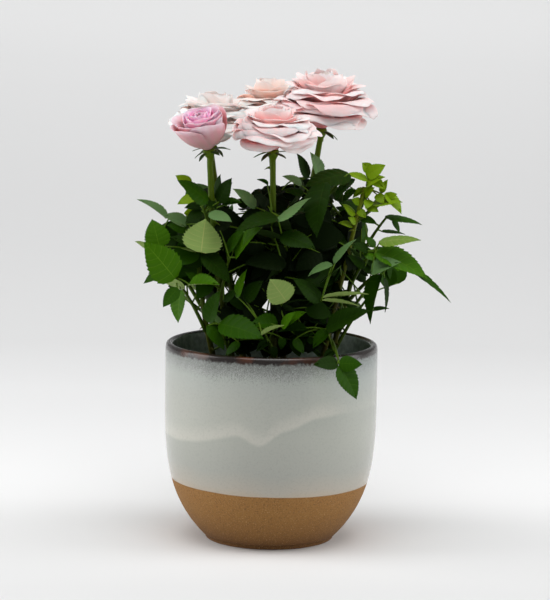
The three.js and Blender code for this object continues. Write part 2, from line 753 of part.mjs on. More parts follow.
// A cane, with the hip and the sepals on it where it carries a bloom.
function caneSolid(cane) {
  const centres = caneCurve(cane).getPoints(CANE_STEPS);
  const radii = stemRadii(CANE_STEPS, cane.radius[0], cane.radius[1]);
  const solids = [solidOf(taperedTube(centres, radii, CANE_SIDES, UP))];
  const bloom = BLOOMS.find((b) => b.cane === cane.name);
  if (bloom) {
    const frame = bloomFrame(bloom);
    const { radius, height } = HIP;
    const tube = cane.radius[1];
    const profile = [
      [0, -3],
      [tube * 0.8, -3],
      [radius, height * 0.5],
      [radius * 0.9, height],
      [0, height],
    ];
    solids.push(solidOf(placedTurned(frame, profile, 8)));
    for (let k = 0; k < SEPAL.count; k++) {
      const bearing = (360 / SEPAL.count) * k + SEPAL.firstBearing;
      const [x, y] = polar(bearing, 1, 0).toArray();
      const out = frame.right.clone().multiplyScalar(x).addScaledVector(frame.forward, y);
      const rise = radians(SEPAL.rise);
      const along = out.clone().multiplyScalar(Math.cos(rise)).addScaledVector(frame.axis, Math.sin(rise));
      const root = placed(frame, 0, 0, height * 0.62).addScaledVector(out, radius * 0.8);
      const { length, width } = SEPAL;
      const made = blade({ root, along, face: squareTo(frame.axis, along), length, width });
      solids.push(solidOf(geometryOf(made.points, made.faces)));
    }
  }
  return joined(solids);
}

// What the leaves have to keep clear of before the first spray grows: the canes and the blooms.
function claimLimbs() {
  for (const cane of CANES) {
    const centres = caneCurve(cane).getPoints(CANE_STEPS);
    const radii = stemRadii(CANE_STEPS, cane.radius[0], cane.radius[1]);
    centres.slice(1).forEach((c, i) => {
      taken.push({ owner: cane.name, hull: stretch(centres[i], c, radii[i]) });
    });
  }
  for (const bloom of BLOOMS) {
    const frame = bloomFrame(bloom);
    const turns = Array.from({ length: 10 }, (_, k) => 36 * k);
    const ring = (radius, height) =>
      turns.map((degrees) => placed(frame, ...polar(degrees, radius, height).toArray()));
    const points = [
      ...ring(SEPAL.length - 1, HIP.height - 7),
      ...ring(bloom.reach + 1, HIP.height - 1),
      ...ring(bloom.reach, HIP.height + 20),
    ];
    const upright = new THREE.Quaternion().setFromUnitVectors(UP, frame.axis);
    const directions = [frame.axis, ...turns.map((degrees) => aim(degrees, 0).applyQuaternion(upright))];
    taken.push({ owner: bloom.name, hull: hullOf(points, directions, directions) });
  }
}

function backSprays() {
  const carrier = (bearing) => {
    if (bearing < 60) return "cane_side_right";
    return bearing < 120 ? "cane_back" : "cane_back_left";
  };
  return BACK_TIERS.flatMap((tier) =>
    Array.from({ length: tier.count }, (_, k) => {
      const bearing = lerp(...tier.bearings, k / (tier.count - 1));
      const sway = k % 2 ? 1 : -1;
      return {
        name: `${tier.name}_${k + 1}`,
        cane: carrier(bearing),
        from: tier.from + 4 * sway,
        end: [bearing, tier.radius + 4 * sway, tier.height - 5 * sway],
        leaf: [bearing + 25 * sway, -18],
        face: [bearing, 50],
        size: tier.size,
      };
    }),
  );
}

// Each finish: its colour and roughness.
const MATERIALS = Object.fromEntries(
  [
    ["pot", 0xb9bcb2, 0.3],
    ["soil", 0x33261c, 0.95],
    ["cane", 0x4d6b25, 0.5],
    ["youngCane", 0x7d8a24, 0.5],
    ["leaf", 0x2f5a22, 0.45],
    ["youngLeaf", 0x86a524, 0.5],
    ["pink", 0xf0b9bc, 0.6],
    ["pale", 0xf4d9cf, 0.6],
    ["rose", 0xe29ac0, 0.6],
  ].map(([name, color, roughness]) => [
    name,
    new THREE.MeshStandardMaterial({ color, roughness, metalness: 0 }),
  ]),
);
const BLOOM_MATERIALS = {
  bloom_right: "pink",
  bloom_front: "pink",
  bloom_left: "rose",
  bloom_back_left: "pale",
  bloom_back: "pale",
};

const bush = new THREE.Group();

function addMesh(name, geometry, material) {
  const mesh = new THREE.Mesh(geometry, MATERIALS[material]);
  mesh.name = name;
  bush.add(mesh);
}

addMesh("pot", turned(potProfile(), POT.segments), "pot");
addMesh("soil", turned(soilProfile(), SOIL_SEGMENTS), "soil");
for (const cane of CANES) {
  const finish = cane.name === "cane_young" ? "youngCane" : "cane";
  addMesh(cane.name, geometryOfSolid(caneSolid(cane)), finish);
}
for (const bloom of BLOOMS) {
  addMesh(bloom.name, geometryOfSolid(bloomSolid(bloom)), BLOOM_MATERIALS[bloom.name]);
}
claimLimbs();
const sprays = [...SPRAYS, ...backSprays()];
const stems = sprays.map(mainStem);
sprays.forEach((spray, i) => {
  addMesh(spray.name, growSpray(spray, stems[i], i + 1), spray.young ? "youngLeaf" : "leaf");
});

export default bush;
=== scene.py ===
"""A potted rose bush in flower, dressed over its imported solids.

Metres, +Z up, with the origin in the middle of the pot's flat underside and the front at -Y.
The sizes repeat the part's source. Bearings are degrees round the pot's axis from +X, and rises
are degrees above the horizon.
"""

import logging
import math
from collections.abc import Iterable
from dataclasses import dataclass, field
from enum import Enum

import bpy
import numpy as np
from mathutils import Matrix, Vector


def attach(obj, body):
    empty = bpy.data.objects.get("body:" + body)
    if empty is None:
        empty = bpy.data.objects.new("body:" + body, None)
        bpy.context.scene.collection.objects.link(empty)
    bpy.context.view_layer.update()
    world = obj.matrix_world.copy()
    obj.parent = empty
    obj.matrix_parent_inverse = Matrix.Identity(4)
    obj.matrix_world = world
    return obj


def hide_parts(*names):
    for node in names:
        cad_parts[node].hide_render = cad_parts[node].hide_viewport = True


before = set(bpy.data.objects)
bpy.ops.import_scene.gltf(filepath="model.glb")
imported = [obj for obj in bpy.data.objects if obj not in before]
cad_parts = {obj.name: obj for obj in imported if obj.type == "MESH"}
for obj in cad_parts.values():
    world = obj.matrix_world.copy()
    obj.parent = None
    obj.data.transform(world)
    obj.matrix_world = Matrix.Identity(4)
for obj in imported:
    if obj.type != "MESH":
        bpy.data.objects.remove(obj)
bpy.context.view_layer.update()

Array = np.ndarray
Pair = tuple[float, float]
Triple = tuple[float, float, float]
Socket = bpy.types.NodeSocket

LOG = logging.getLogger("rose_bush")
MM = 0.001
GOLDEN = 137.508
# The span that the phases of waves are drawn from, in radians.
TURN = 6.28
UP = np.array([0.0, 0.0, 1.0])
CAMERA_PLACE = (1.9 * MM, -1760 * MM, 414 * MM)
CAMERA_PITCH = 7.9
CAMERA_ROLL = 0.85
FRAME = (550, 600)
FOCUS_PIXELS = 2516
SENSOR = 36.0
# A reading is a place in the frame as it was read: so many quarters of a pixel from a corner.
READING_CORNER = (135, 165)
READING_SCALE = 4


def put(name: str, data: bpy.types.ID) -> bpy.types.Object:
    """A new object in the scene that holds some data, at the origin and unturned."""
    made = bpy.data.objects.new(name, data)
    bpy.context.scene.collection.objects.link(made)
    return made


def make_camera() -> bpy.types.Object:
    """Puts the camera at the photograph's viewing angle, fitted to the pot's rim and foot.

    Returns:
        The scene's camera.
    """
    data = bpy.data.cameras.new("camera")
    data.sensor_width = SENSOR
    data.lens = FOCUS_PIXELS / FRAME[1] * SENSOR
    data.clip_start = 0.05
    data.clip_end = 60
    camera = put("camera", data)
    pitch = Matrix.Rotation(math.radians(90 - CAMERA_PITCH), 4, "X")
    roll = Matrix.Rotation(math.radians(CAMERA_ROLL), 4, "Z")
    camera.matrix_world = Matrix.Translation(CAMERA_PLACE) @ pitch @ roll
    bpy.context.scene.camera = camera
    return camera


make_camera()


def linear(code: str) -> tuple[float, float, float, float]:
    """Linear colour of a code of six hexadecimal digits: the sRGB curve undone channel by channel.

    Args:
        code: The colour as "#rrggbb".

    Returns:
        Red, green, blue and an alpha of one.
    """
    parts = np.array([int(code[i : i + 2], 16) for i in (1, 3, 5)]) / 255
    bright = ((parts + 0.055) / 1.055) ** 2.4
    return (*np.where(parts <= 0.04045, parts / 12.92, bright).tolist(), 1.0)


def unit(vectors: Array) -> Array:
    """The vectors at length one along their last axis."""
    return vectors / np.maximum(np.linalg.norm(vectors, axis=-1, keepdims=True), 1e-12)


def polar(bearing: float, distance: float, height: float) -> Array:
    """The point at a bearing in degrees, a distance from the axis and a height."""
    angle = math.radians(bearing)
    return np.array([distance * math.cos(angle), distance * math.sin(angle), height])


def aim(bearing: float, rise: float) -> Array:
    """The unit vector with a bearing and a rise, in degrees."""
    return polar(bearing, math.cos(math.radians(rise)), math.sin(math.radians(rise)))


def square_to(vector: Array, axis: Array) -> Array:
    """The part of a vector that is square to a unit axis, at length one."""
    return unit(vector - np.dot(vector, axis) * axis)


def turned_about(vector: Array, axis: Array, degrees: float) -> Array:
    """A vector turned about a unit axis by Rodrigues' formula."""
    angle = math.radians(degrees)
    lengthwise = np.dot(axis, vector) * axis * (1 - math.cos(angle))
    return vector * math.cos(angle) + np.cross(axis, vector) * math.sin(angle) + lengthwise


def smooth(value: Array, low: float, high: float) -> Array:
    """Zero below low, one above high and the cubic 3t^2 - 2t^3 between them."""
    t = np.clip((value - low) / (high - low), 0, 1)
    return t * t * (3 - 2 * t)


def ripple(points: Array, scale: float, seed: int) -> Array:
    """Uneven relief from -1 to 1: the mean of six sine waves of mixed directions and lengths.

    Args:
        points: Places, with x, y and z along the last axis.
        scale: Waves per metre of the longest wave.
        seed: Which six waves.

    Returns:
        One number for each point.
    """
    draw = np.random.default_rng(seed)
    ways = unit(draw.normal(size=(6, 3))) * scale * draw.uniform(1, 2.6, (6, 1))
    return np.sin(2 * np.pi * points @ ways.T + draw.uniform(0, TURN, 6)).mean(-1) * 1.6


class Draws:
    """The source's repeatable numbers from 0 to 1, a linear congruence on 32 bits."""

    def __init__(self, seed: int) -> None:
        """Starts the row of numbers that belongs to the seed."""
        self.state = seed * 2654435761 % 2**32

    def __call__(self) -> float:
        """The next number."""
        self.state = (self.state * 1664525 + 1013904223) % 2**32
        return self.state / 2**32


@dataclass
class Skin:
    """A mesh in the making: points, faces of four and three corners, slots and point values.

    An edge between two points that have a crease value of one is sharp.
    """

    points: Array
    quads: Array
    tris: Array = field(default_factory=lambda: np.zeros((0, 3), int))
    quad_slots: Array | None = None
    tri_slots: Array | None = None
    values: dict[str, Array] = field(default_factory=dict)

    def slots(self) -> Array:
        """The material slot of each face, those of four corners first."""
        quads = np.zeros(len(self.quads), int) if self.quad_slots is None else self.quad_slots
        tris = np.zeros(len(self.tris), int) if self.tri_slots is None else self.tri_slots
        return np.concatenate([quads, tris])

    def triangles(self) -> int:
        """How many triangles the faces come to."""
        return 2 * len(self.quads) + len(self.tris)


def joined(skins: Iterable[Skin]) -> Skin:
    """Skins put into one, each one's corners counted on from the last one's.

    Args:
        skins: The skins, which all carry the same point values.

    Returns:
        One skin.
    """
    parts = list(skins)
    starts = np.cumsum([0, *[len(s.points) for s in parts[:-1]]])
    slots = [s.slots() for s in parts]
    return Skin(
        np.concatenate([s.points for s in parts]),
        np.concatenate([s.quads + start for s, start in zip(parts, starts)]),
        np.concatenate([s.tris + start for s, start in zip(parts, starts)]),
        np.concatenate([each[: len(s.quads)] for s, each in zip(parts, slots)]),
        np.concatenate([each[len(s.quads) :] for s, each in zip(parts, slots)]),
        {key: np.concatenate([s.values[key] for s in parts]) for key in parts[0].values},
    )


def piece(
    name: str, skin: Skin, materials: list[bpy.types.Material], nodes: Iterable[str] = ()
) -> bpy.types.Object:
    """Puts a skin into the scene as a piece of the bush.

    Args:
        name: The piece's plain name.
        skin: Its points and faces.
        materials: Its material slots in order.
        nodes: The solids that it stands for.

    Returns:
        The new object, at the origin and unturned.
    """
    mesh = bpy.data.meshes.new(name)
    mesh.from_pydata(skin.points, [], skin.quads.tolist() + skin.tris.tolist())
    mesh.polygons.foreach_set("material_index", skin.slots().astype(np.int32))
    mesh.polygons.foreach_set("use_smooth", np.ones(len(mesh.polygons), bool))
    for key, numbers in skin.values.items():
        layer = mesh.attributes.new(key, "FLOAT", "POINT")
        layer.data.foreach_set("value", numbers.astype(np.float32))
    if "crease" in skin.values:
        ends = np.zeros(2 * len(mesh.edges), np.int32)
        mesh.edges.foreach_get("vertices", ends)
        folded = skin.values["crease"][ends.reshape(-1, 2)].min(1) > 0.5
        mesh.attributes.new("sharp_edge", "BOOLEAN", "EDGE").data.foreach_set("value", folded)
    for material in materials:
        mesh.materials.append(material)
    mesh.update()
    made = put(name, mesh)
    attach(made, "root")
    if nodes:
        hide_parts(*nodes)
    LOG.info("%s: %d triangles", name, skin.triangles())
    return made


def grid_quads(rows: int, columns: int, closed: bool = False) -> Array:
    """Faces between the points of a grid, which face the way of columns crossed with rows.

    Args:
        rows: How many rows of points.
        columns: How many points in a row.
        closed: Whether the last column joins the first one.

    Returns:
        Four corners for each face.
    """
    r, c = np.meshgrid(np.arange(rows - 1), np.arange(columns if closed else columns - 1), indexing="ij")
    near, far = (row.ravel() * columns for row in (r, r + 1))
    c = c.ravel()
    after = (c + 1) % columns
    return np.stack([near + c, near + after, far + after, far + c], 1)


def grid_normals(points: Array) -> Array:
    """Unit normals of grids of points: the columns' direction crossed with the rows'."""
    return unit(np.cross(np.gradient(points, axis=2), np.gradient(points, axis=1)))


def closed_shells(middle: Array, depth: Array | float, marks: dict[str, Array]) -> Skin:
    """Closed shells round surfaces: two grids each that share their outline and part inside it.

    Args:
        middle: The surfaces half way through, as shells by rows by columns by three.
        depth: Half the thickness, which counts inside the outline.
        marks: Point values, in shapes that spread over the grids.

    Returns:
        All the shells in one skin, with their outlines creased.
    """
    count, height, width, _ = middle.shape
    size = height * width
    inner = np.zeros((height, width))
    inner[1:-1, 1:-1] = 1
    inside = np.flatnonzero(inner.ravel())
    offset = (depth * inner)[..., None] * grid_normals(middle)
    upper = (middle + offset).reshape(count, size, 3)
    lower = (middle - offset).reshape(count, size, 3)[:, inside]
    points = np.concatenate([upper, lower], 1)
    grid = grid_quads(height, width)
    under = np.arange(size)
    under[inside] = size + np.arange(len(inside))
    quads = np.concatenate([grid, under[grid][:, [0, 3, 2, 1]]])
    starts = (np.arange(count) * points.shape[1])[:, None, None]
    values = {}
    for key, mark in marks.items():
        flat = np.broadcast_to(mark, middle.shape[:3]).reshape(count, size)
        values[key] = np.concatenate([flat, flat[:, inside]], 1).ravel()
    edge = np.concatenate([1 - inner.ravel(), np.zeros(len(inside))])
    values["crease"] = np.broadcast_to(edge, points.shape[:2]).ravel()
    return Skin(points.reshape(-1, 3), (quads[None] + starts).reshape(-1, 4), values=values)


def turned(profile: Array, segments: int, slots: Array | None = None) -> Skin:
    """A profile turned round the Z axis, closed by a fan of faces at each pole.

    Each point (r, z) goes to (r cos a, r sin a, z) for evenly spaced angles a.

    Args:
        profile: Radii and heights from the lower pole to the upper one, poles included.
        segments: How many angles.
        slots: The material slot of each stretch of the profile.

    Returns:
        The closed skin.
    """
    angles = np.linspace(0, 2 * np.pi, segments, endpoint=False)
    inner = profile[1:-1]
    ring = np.stack([np.cos(angles), np.sin(angles)], -1)
    points = np.concatenate(
        [inner[:, None, :1] * ring[None], np.broadcast_to(inner[:, None, 1:], (len(inner), segments, 1))], -1
    ).reshape(-1, 3)
    count = len(points)
    k = np.arange(segments)
    after = (k + 1) % segments
    last = (len(inner) - 1) * segments
    low = np.stack([np.full(segments, count), after, k], 1)
    high = np.stack([np.full(segments, count + 1), last + k, last + after], 1)
    poles = np.array([[0, 0, profile[0, 1]], [0, 0, profile[-1, 1]]])
    stretches = np.zeros(len(profile) - 1, int) if slots is None else slots
    return Skin(
        np.concatenate([points, poles]),
        grid_quads(len(inner), segments, closed=True),
        np.concatenate([low, high]),
        np.repeat(stretches[1:-1], segments),
        np.repeat(stretches[[0, -1]], segments),
    )


def tubes(lines: Array, radii: Array, sides: int) -> Skin:
    """Round tubes along lines, each closed by a fan of faces at both ends.

    The ring at each point of a line is centre + r (cos a side + sin a other), where side and other
    are square to the line's direction there.

    Args:
        lines: Centres, as tubes by points by three.
        radii: Radii, as tubes by points, or tubes by points by sides for a relief.
        sides: How many corners a ring has.

    Returns:
        All the tubes in one skin.
    """
    count, steps, _ = lines.shape
    ways = unit(np.gradient(lines, axis=1))
    helper = np.where(np.abs(ways[:, :1, 2:]) < 0.9, UP, np.array([1.0, 0.0, 0.0]))
    side = unit(np.cross(ways[:, :1], helper))
    side = unit(side - (side * ways).sum(-1, keepdims=True) * ways)
    other = np.cross(ways, side)
    angles = np.linspace(0, 2 * np.pi, sides, endpoint=False)[:, None]
    across = np.cos(angles) * side[:, :, None] + np.sin(angles) * other[:, :, None]
    reach = radii if radii.ndim == 3 else np.repeat(radii[..., None], sides, 2)
    rings = (lines[:, :, None] + reach[..., None] * across).reshape(count, -1, 3)
    points = np.concatenate([rings, lines[:, [0, -1]]], 1)
    size = steps * sides
    k = np.arange(sides)
    after = (k + 1) % sides
    last = size - sides
    caps = np.concatenate(
        [
            np.stack([np.full(sides, size), after, k], 1),
            np.stack([np.full(sides, size + 1), last + k, last + after], 1),
        ]
    )
    starts = (np.arange(count) * (size + 2))[:, None, None]
    quads = (grid_quads(steps, sides, closed=True)[None] + starts).reshape(-1, 4)
    return Skin(points.reshape(-1, 3), quads, (caps[None] + starts).reshape(-1, 3))


def bent_lines(starts: Array, middles: Array, ends: Array, steps: int) -> Array:
    """Points of quadratic curves: (1-t)^2 start + 2t(1-t) middle + t^2 end.

    Args:
        starts: First points, one for each curve.
        middles: The points that the curves bend towards.
        ends: Last points.
        steps: How many stretches each curve is cut into.

    Returns:
        Curves by points by three.
    """
    t = np.linspace(0, 1, steps + 1)[None, :, None]
    start, middle, end = (np.asarray(p)[:, None] for p in (starts, middles, ends))
    return (1 - t) ** 2 * start + 2 * t * (1 - t) * middle + t**2 * end


class Recipe:
    """A material's nodes, added one at a time in the order in which they feed each other."""

    def __init__(self, name: str, roughness: float) -> None:
        """Starts a material of one rough or glossy surface."""
        self.material = bpy.data.materials.new(name)
        self.material.use_nodes = True
        self.tree = self.material.node_tree
        self.surface = next(n for n in self.tree.nodes if n.type == "BSDF_PRINCIPLED")
        self.surface.inputs["Roughness"].default_value = roughness

    def feed(self, socket: Socket, value: object) -> None:
        """Links a socket into another one, or sets its number or colour."""
        if isinstance(value, Socket):
            self.tree.links.new(value, socket)
        else:
            socket.default_value = value

    def add(self, kind: str, inputs: dict[int | str, object], **settings: object) -> bpy.types.Node:
        """Adds a node.

        Args:
            kind: Blender's name for the node.
            inputs: What goes into its sockets.
            settings: Its properties.

        Returns:
            The node.
        """
        node = self.tree.nodes.new(kind)
        for key, value in settings.items():
            setattr(node, key, value)
        for key, value in inputs.items():
            self.feed(node.inputs[key], value)
        return node

    def place(self) -> Socket:
        """The point on the object, in metres."""
        return self.add("ShaderNodeTexCoord", {}).outputs["Object"]

    def part(self, vector: Socket, axis: str) -> Socket:
        """One of a vector's parts, X, Y or Z."""
        return self.add("ShaderNodeSeparateXYZ", {0: vector}).outputs[axis]

    def value_of(self, name: str) -> Socket:
        """A point value that the mesh carries."""
        return self.add("ShaderNodeAttribute", {}, attribute_name=name).outputs["Fac"]

    def stretched(self, vector: Socket, scale: tuple) -> Socket:
        """A vector scaled along each axis."""
        return self.add("ShaderNodeMapping", {"Vector": vector, "Scale": scale}).outputs[0]

    def noise(self, vector: Socket, scale: float, detail: float = 3) -> Socket:
        """Cloudy noise round a half, in waves per metre."""
        inputs = {"Vector": vector, "Scale": scale, "Detail": detail}
        return self.add("ShaderNodeTexNoise", inputs).outputs[0]

    def sum(self, kind: str, *inputs: object) -> Socket:
        """The result of a sum of one kind, such as ADD, on one to three numbers."""
        return self.add("ShaderNodeMath", dict(enumerate(inputs)), operation=kind).outputs[0]

    def fade(
        self, value: object, low: object, high: object, start: float = 0, end: float = 1
    ) -> Socket:
        """A number that goes smoothly from start at low to end at high."""
        inputs = {"Value": value, "From Min": low, "From Max": high, "To Min": start, "To Max": end}
        return self.add("ShaderNodeMapRange", inputs, interpolation_type="SMOOTHSTEP").outputs[0]

    def mix(self, share: object, first: object, second: object) -> Socket:
        """Two colours mixed: the first at zero and the second at one."""
        return self.add("ShaderNodeMix", {0: share, 6: first, 7: second}, data_type="RGBA").outputs[2]

    def ramp(self, value: object, stops: list[tuple[float, str]]) -> Socket:
        """A colour read off a row of stops from 0 to 1."""
        node = self.add("ShaderNodeValToRGB", {0: value})
        row = node.color_ramp.elements
        while len(row) < len(stops):
            row.new(1.0)
        for element, (place, code) in zip(row, stops):
            element.position = place
            element.color = linear(code)
        return node.outputs[0]

    def relief(self, height: Socket, depth: float, strength: float = 1) -> None:
        """Fine relief on the surface, depth metres deep."""
        inputs = {"Height": height, "Distance": depth, "Strength": strength}
        self.feed(self.surface.inputs["Normal"], self.add("ShaderNodeBump", inputs).outputs[0])

    def colour(self, value: object) -> None:
        """What colour the surface has."""
        self.feed(self.surface.inputs["Base Color"], value)

    def gloss(self, value: object) -> None:
        """How rough the surface is."""
        self.feed(self.surface.inputs["Roughness"], value)

    def fixed(self, **numbers: float) -> None:
        """Sets the surface's own sockets, named with low lines for spaces."""
        for key, value in numbers.items():
            self.surface.inputs[key.replace("_", " ")].default_value = value


@dataclass(frozen=True)
class PlainFinish:
    """One even colour, for leaves and twigs whose colours are dealt out by spray."""

    name: str
    code: str
    roughness: float
    shine: float = 0.5

    def make(self) -> bpy.types.Material:
        """The material."""
        recipe = Recipe(self.name, self.roughness)
        recipe.colour(linear(self.code))
        recipe.fixed(Specular_IOR_Level=self.shine)
        return recipe.material


@dataclass(frozen=True)
class StonewareFinish:
    """The pot outside: a bare clay foot, a speckled grey glaze with a pale wave, a dark rim."""

    line: float = 42.5 * MM
    tilt: float = -0.0143
    height: float = 140 * MM
    wave: float = 86.5 * MM

    def make(self) -> bpy.types.Material:
        """The material, whose parts follow the height on the pot."""
        recipe = Recipe("stoneware", 0.4)
        place = recipe.place()
        across = recipe.part(place, "X")
        height = recipe.part(place, "Z")
        share = recipe.sum("DIVIDE", height, self.height)
        drift = recipe.noise(place, 30, 2)
        line = recipe.sum("MULTIPLY_ADD", across, self.tilt, self.line - 0.6 * MM)
        line = recipe.sum("MULTIPLY_ADD", drift, 1.2 * MM, line)
        above = recipe.sum("SUBTRACT", height, line)
        glazed = recipe.fade(above, -0.35 * MM, 0.35 * MM)
        glaze, dots = self.glaze(recipe, place, height, share, drift)
        clay, grain = self.clay(recipe, place, share)
        recipe.colour(recipe.mix(glazed, clay, glaze))
        recipe.gloss(recipe.fade(above, -0.3 * MM, 0.5 * MM, 0.85, 0.2))
        bare = recipe.sum("SUBTRACT", 1.0, glazed)
        rough = recipe.sum("MULTIPLY", grain, bare)
        edge = recipe.sum("MULTIPLY_ADD", glazed, 1.4, rough)
        pitted = recipe.sum("MULTIPLY_ADD", dots, -0.05, edge)
        soft = recipe.sum("MULTIPLY_ADD", recipe.noise(place, 60, 2), 0.2, pitted)
        recipe.relief(soft, 0.35 * MM, 0.8)
        return recipe.material

    def clay(self, recipe: Recipe, place: object, share: object) -> tuple[object, object]:
        """The bare clay: a sandy tan that darkens to the foot, with light and dark grains.

        Args:
            recipe: The material's nodes.
            place: The point on the pot.
            share: Its height as a share of the pot's.

        Returns:
            The colour and the grain's relief.
        """
        tan = recipe.ramp(share, [(0.0, "#6d4820"), (0.1, "#815927"), (0.2, "#8f652f"), (0.33, "#986c37")])
        grain = recipe.noise(place, 900, 4)
        dark = recipe.fade(grain, 0.52, 0.66)
        light = recipe.fade(recipe.noise(place, 1500, 2), 0.58, 0.7)
        tan = recipe.mix(recipe.sum("MULTIPLY", dark, 0.45), tan, linear("#54381f"))
        return recipe.mix(recipe.sum("MULTIPLY", light, 0.5), tan, linear("#c09a66")), grain

    def glaze(
        self, recipe: Recipe, place: object, height: object, share: object, drift: object
    ) -> tuple[object, object]:
        """The glaze: a cream edge, a grey side with a pale wave, speckles and a dark rim.

        Args:
            recipe: The material's nodes.
            place: The point on the pot.
            height: Its height.
            share: Its height as a share of the pot's.
            drift: A slow noise that unsettles each border.

        Returns:
            The colour and where its dark dots are.
        """
        wander = recipe.noise(recipe.stretched(place, (1, 1, 0.15)), 24, 2)
        lifted = recipe.sum("MULTIPLY_ADD", wander, 0.08, recipe.sum("SUBTRACT", share, 0.04))
        grey = recipe.ramp(
            lifted,
            [
                (0.3, "#b8ab99"), (0.335, "#b3ada1"), (0.42, "#a9aaa2"), (0.6, "#aeb0a7"),
                (0.74, "#aaada5"), (0.87, "#a3a9a4"), (0.96, "#8f9795"),
            ],
        )
        across = recipe.part(place, "X")
        dip = recipe.fade(recipe.sum("ABSOLUTE", recipe.sum("ADD", across, 7 * MM)), 0, 17 * MM, 9 * MM, 0)
        climb = recipe.fade(across, 5 * MM, 36 * MM, 0, 10 * MM)
        sink = recipe.fade(across, -65 * MM, -5 * MM, 12 * MM, 0)
        edge = recipe.sum("SUBTRACT", recipe.sum("SUBTRACT", recipe.sum("ADD", climb, self.wave), dip), sink)
        sway = recipe.noise(recipe.stretched(place, (1, 1, 0.0)), 22, 1)
        edge = recipe.sum("MULTIPLY_ADD", sway, 5 * MM, edge)
        over = recipe.sum("SUBTRACT", height, edge)
        foot = recipe.fade(over, -2 * MM, 1.5 * MM)
        band = recipe.sum("MULTIPLY", foot, recipe.fade(over, 2 * MM, 13 * MM, 0.6, 0.2))
        band = recipe.sum("MULTIPLY", band, recipe.fade(across, 34 * MM, 58 * MM, 1, 0.2))
        grey = recipe.mix(band, grey, linear("#cccabf"))
        mottle = recipe.fade(recipe.noise(place, 700, 3), 0.45, 0.75, 0, 0.18)
        grey = recipe.mix(mottle, grey, linear("#8a8f88"))
        fine = recipe.noise(place, 2300, 2)
        off_middle = recipe.sum("ABSOLUTE", recipe.sum("ADD", across, 12 * MM))
        middle = recipe.fade(off_middle, 20 * MM, 72 * MM, 0.05, -0.05)
        thick = recipe.sum("ADD", middle, recipe.fade(share, 0.8, 0.99, 0.2, 0.55))
        thick = recipe.sum("MULTIPLY_ADD", wander, 0.1, thick)
        dots = recipe.fade(recipe.sum("ADD", fine, thick), 0.98, 1.1)
        grey = recipe.mix(recipe.sum("MULTIPLY", dots, 0.62), grey, linear("#3d3c37"))
        lowered = recipe.sum("SUBTRACT", height, 2.5 * MM)
        edge = recipe.sum("MULTIPLY_ADD", recipe.noise(place, 420, 4), 5 * MM, lowered)
        rim = recipe.fade(edge, 134.2 * MM, 136.6 * MM)
        patch = recipe.fade(recipe.noise(recipe.stretched(place, (1, 0.4, 1)), 38, 4), 0.52, 0.7, 0, 0.7)
        dark = recipe.mix(patch, linear("#221b18"), linear("#66361d"))
        return recipe.mix(rim, grey, dark), dots


@dataclass(frozen=True)
class InnerGlazeFinish:
    """The pot inside: a grey-green glaze."""

    def make(self) -> bpy.types.Material:
        """The material."""
        recipe = Recipe("inner_glaze", 0.3)
        noise = recipe.noise(recipe.place(), 220, 4)
        recipe.colour(recipe.ramp(noise, [(0.35, "#7d8f82"), (0.5, "#95a699"), (0.65, "#abbaaf")]))
        recipe.relief(noise, 0.2 * MM, 0.4)
        return recipe.material


@dataclass(frozen=True)
class PottingMixFinish:
    """Dark, crumbly potting mix."""

    def make(self) -> bpy.types.Material:
        """The material."""
        recipe = Recipe("potting_mix", 0.95)
        crumbs = recipe.noise(recipe.place(), 420, 5)
        recipe.colour(recipe.ramp(crumbs, [(0.3, "#15100c"), (0.5, "#2e2219"), (0.68, "#54402e")]))
        recipe.relief(crumbs, 1.2 * MM)
        return recipe.material


@dataclass(frozen=True)
class CaneFinish:
    """A green rose cane that is browner towards its foot, with fine streaks along it."""

    name: str
    foot: str
    middle: str
    top: str

    def make(self) -> bpy.types.Material:
        """The material, which follows the height above the soil."""
        recipe = Recipe(self.name, 0.42)
        place = recipe.place()
        height = recipe.part(place, "Z")
        streaks = recipe.noise(recipe.stretched(place, (1, 1, 0.12)), 900, 3)
        blotch = recipe.noise(place, 70, 3)
        drift = recipe.sum("MULTIPLY_ADD", blotch, 0.2, recipe.sum("DIVIDE", height, 0.3))
        green = recipe.ramp(drift, [(0.48, self.foot), (0.72, self.middle), (0.98, self.top)])
        pale = recipe.fade(streaks, 0.45, 0.7, 0, 0.35)
        recipe.colour(recipe.mix(pale, green, linear("#64781c")))
        recipe.relief(streaks, 0.25 * MM, 0.6)
        recipe.fixed(Specular_IOR_Level=0.12)
        return recipe.material


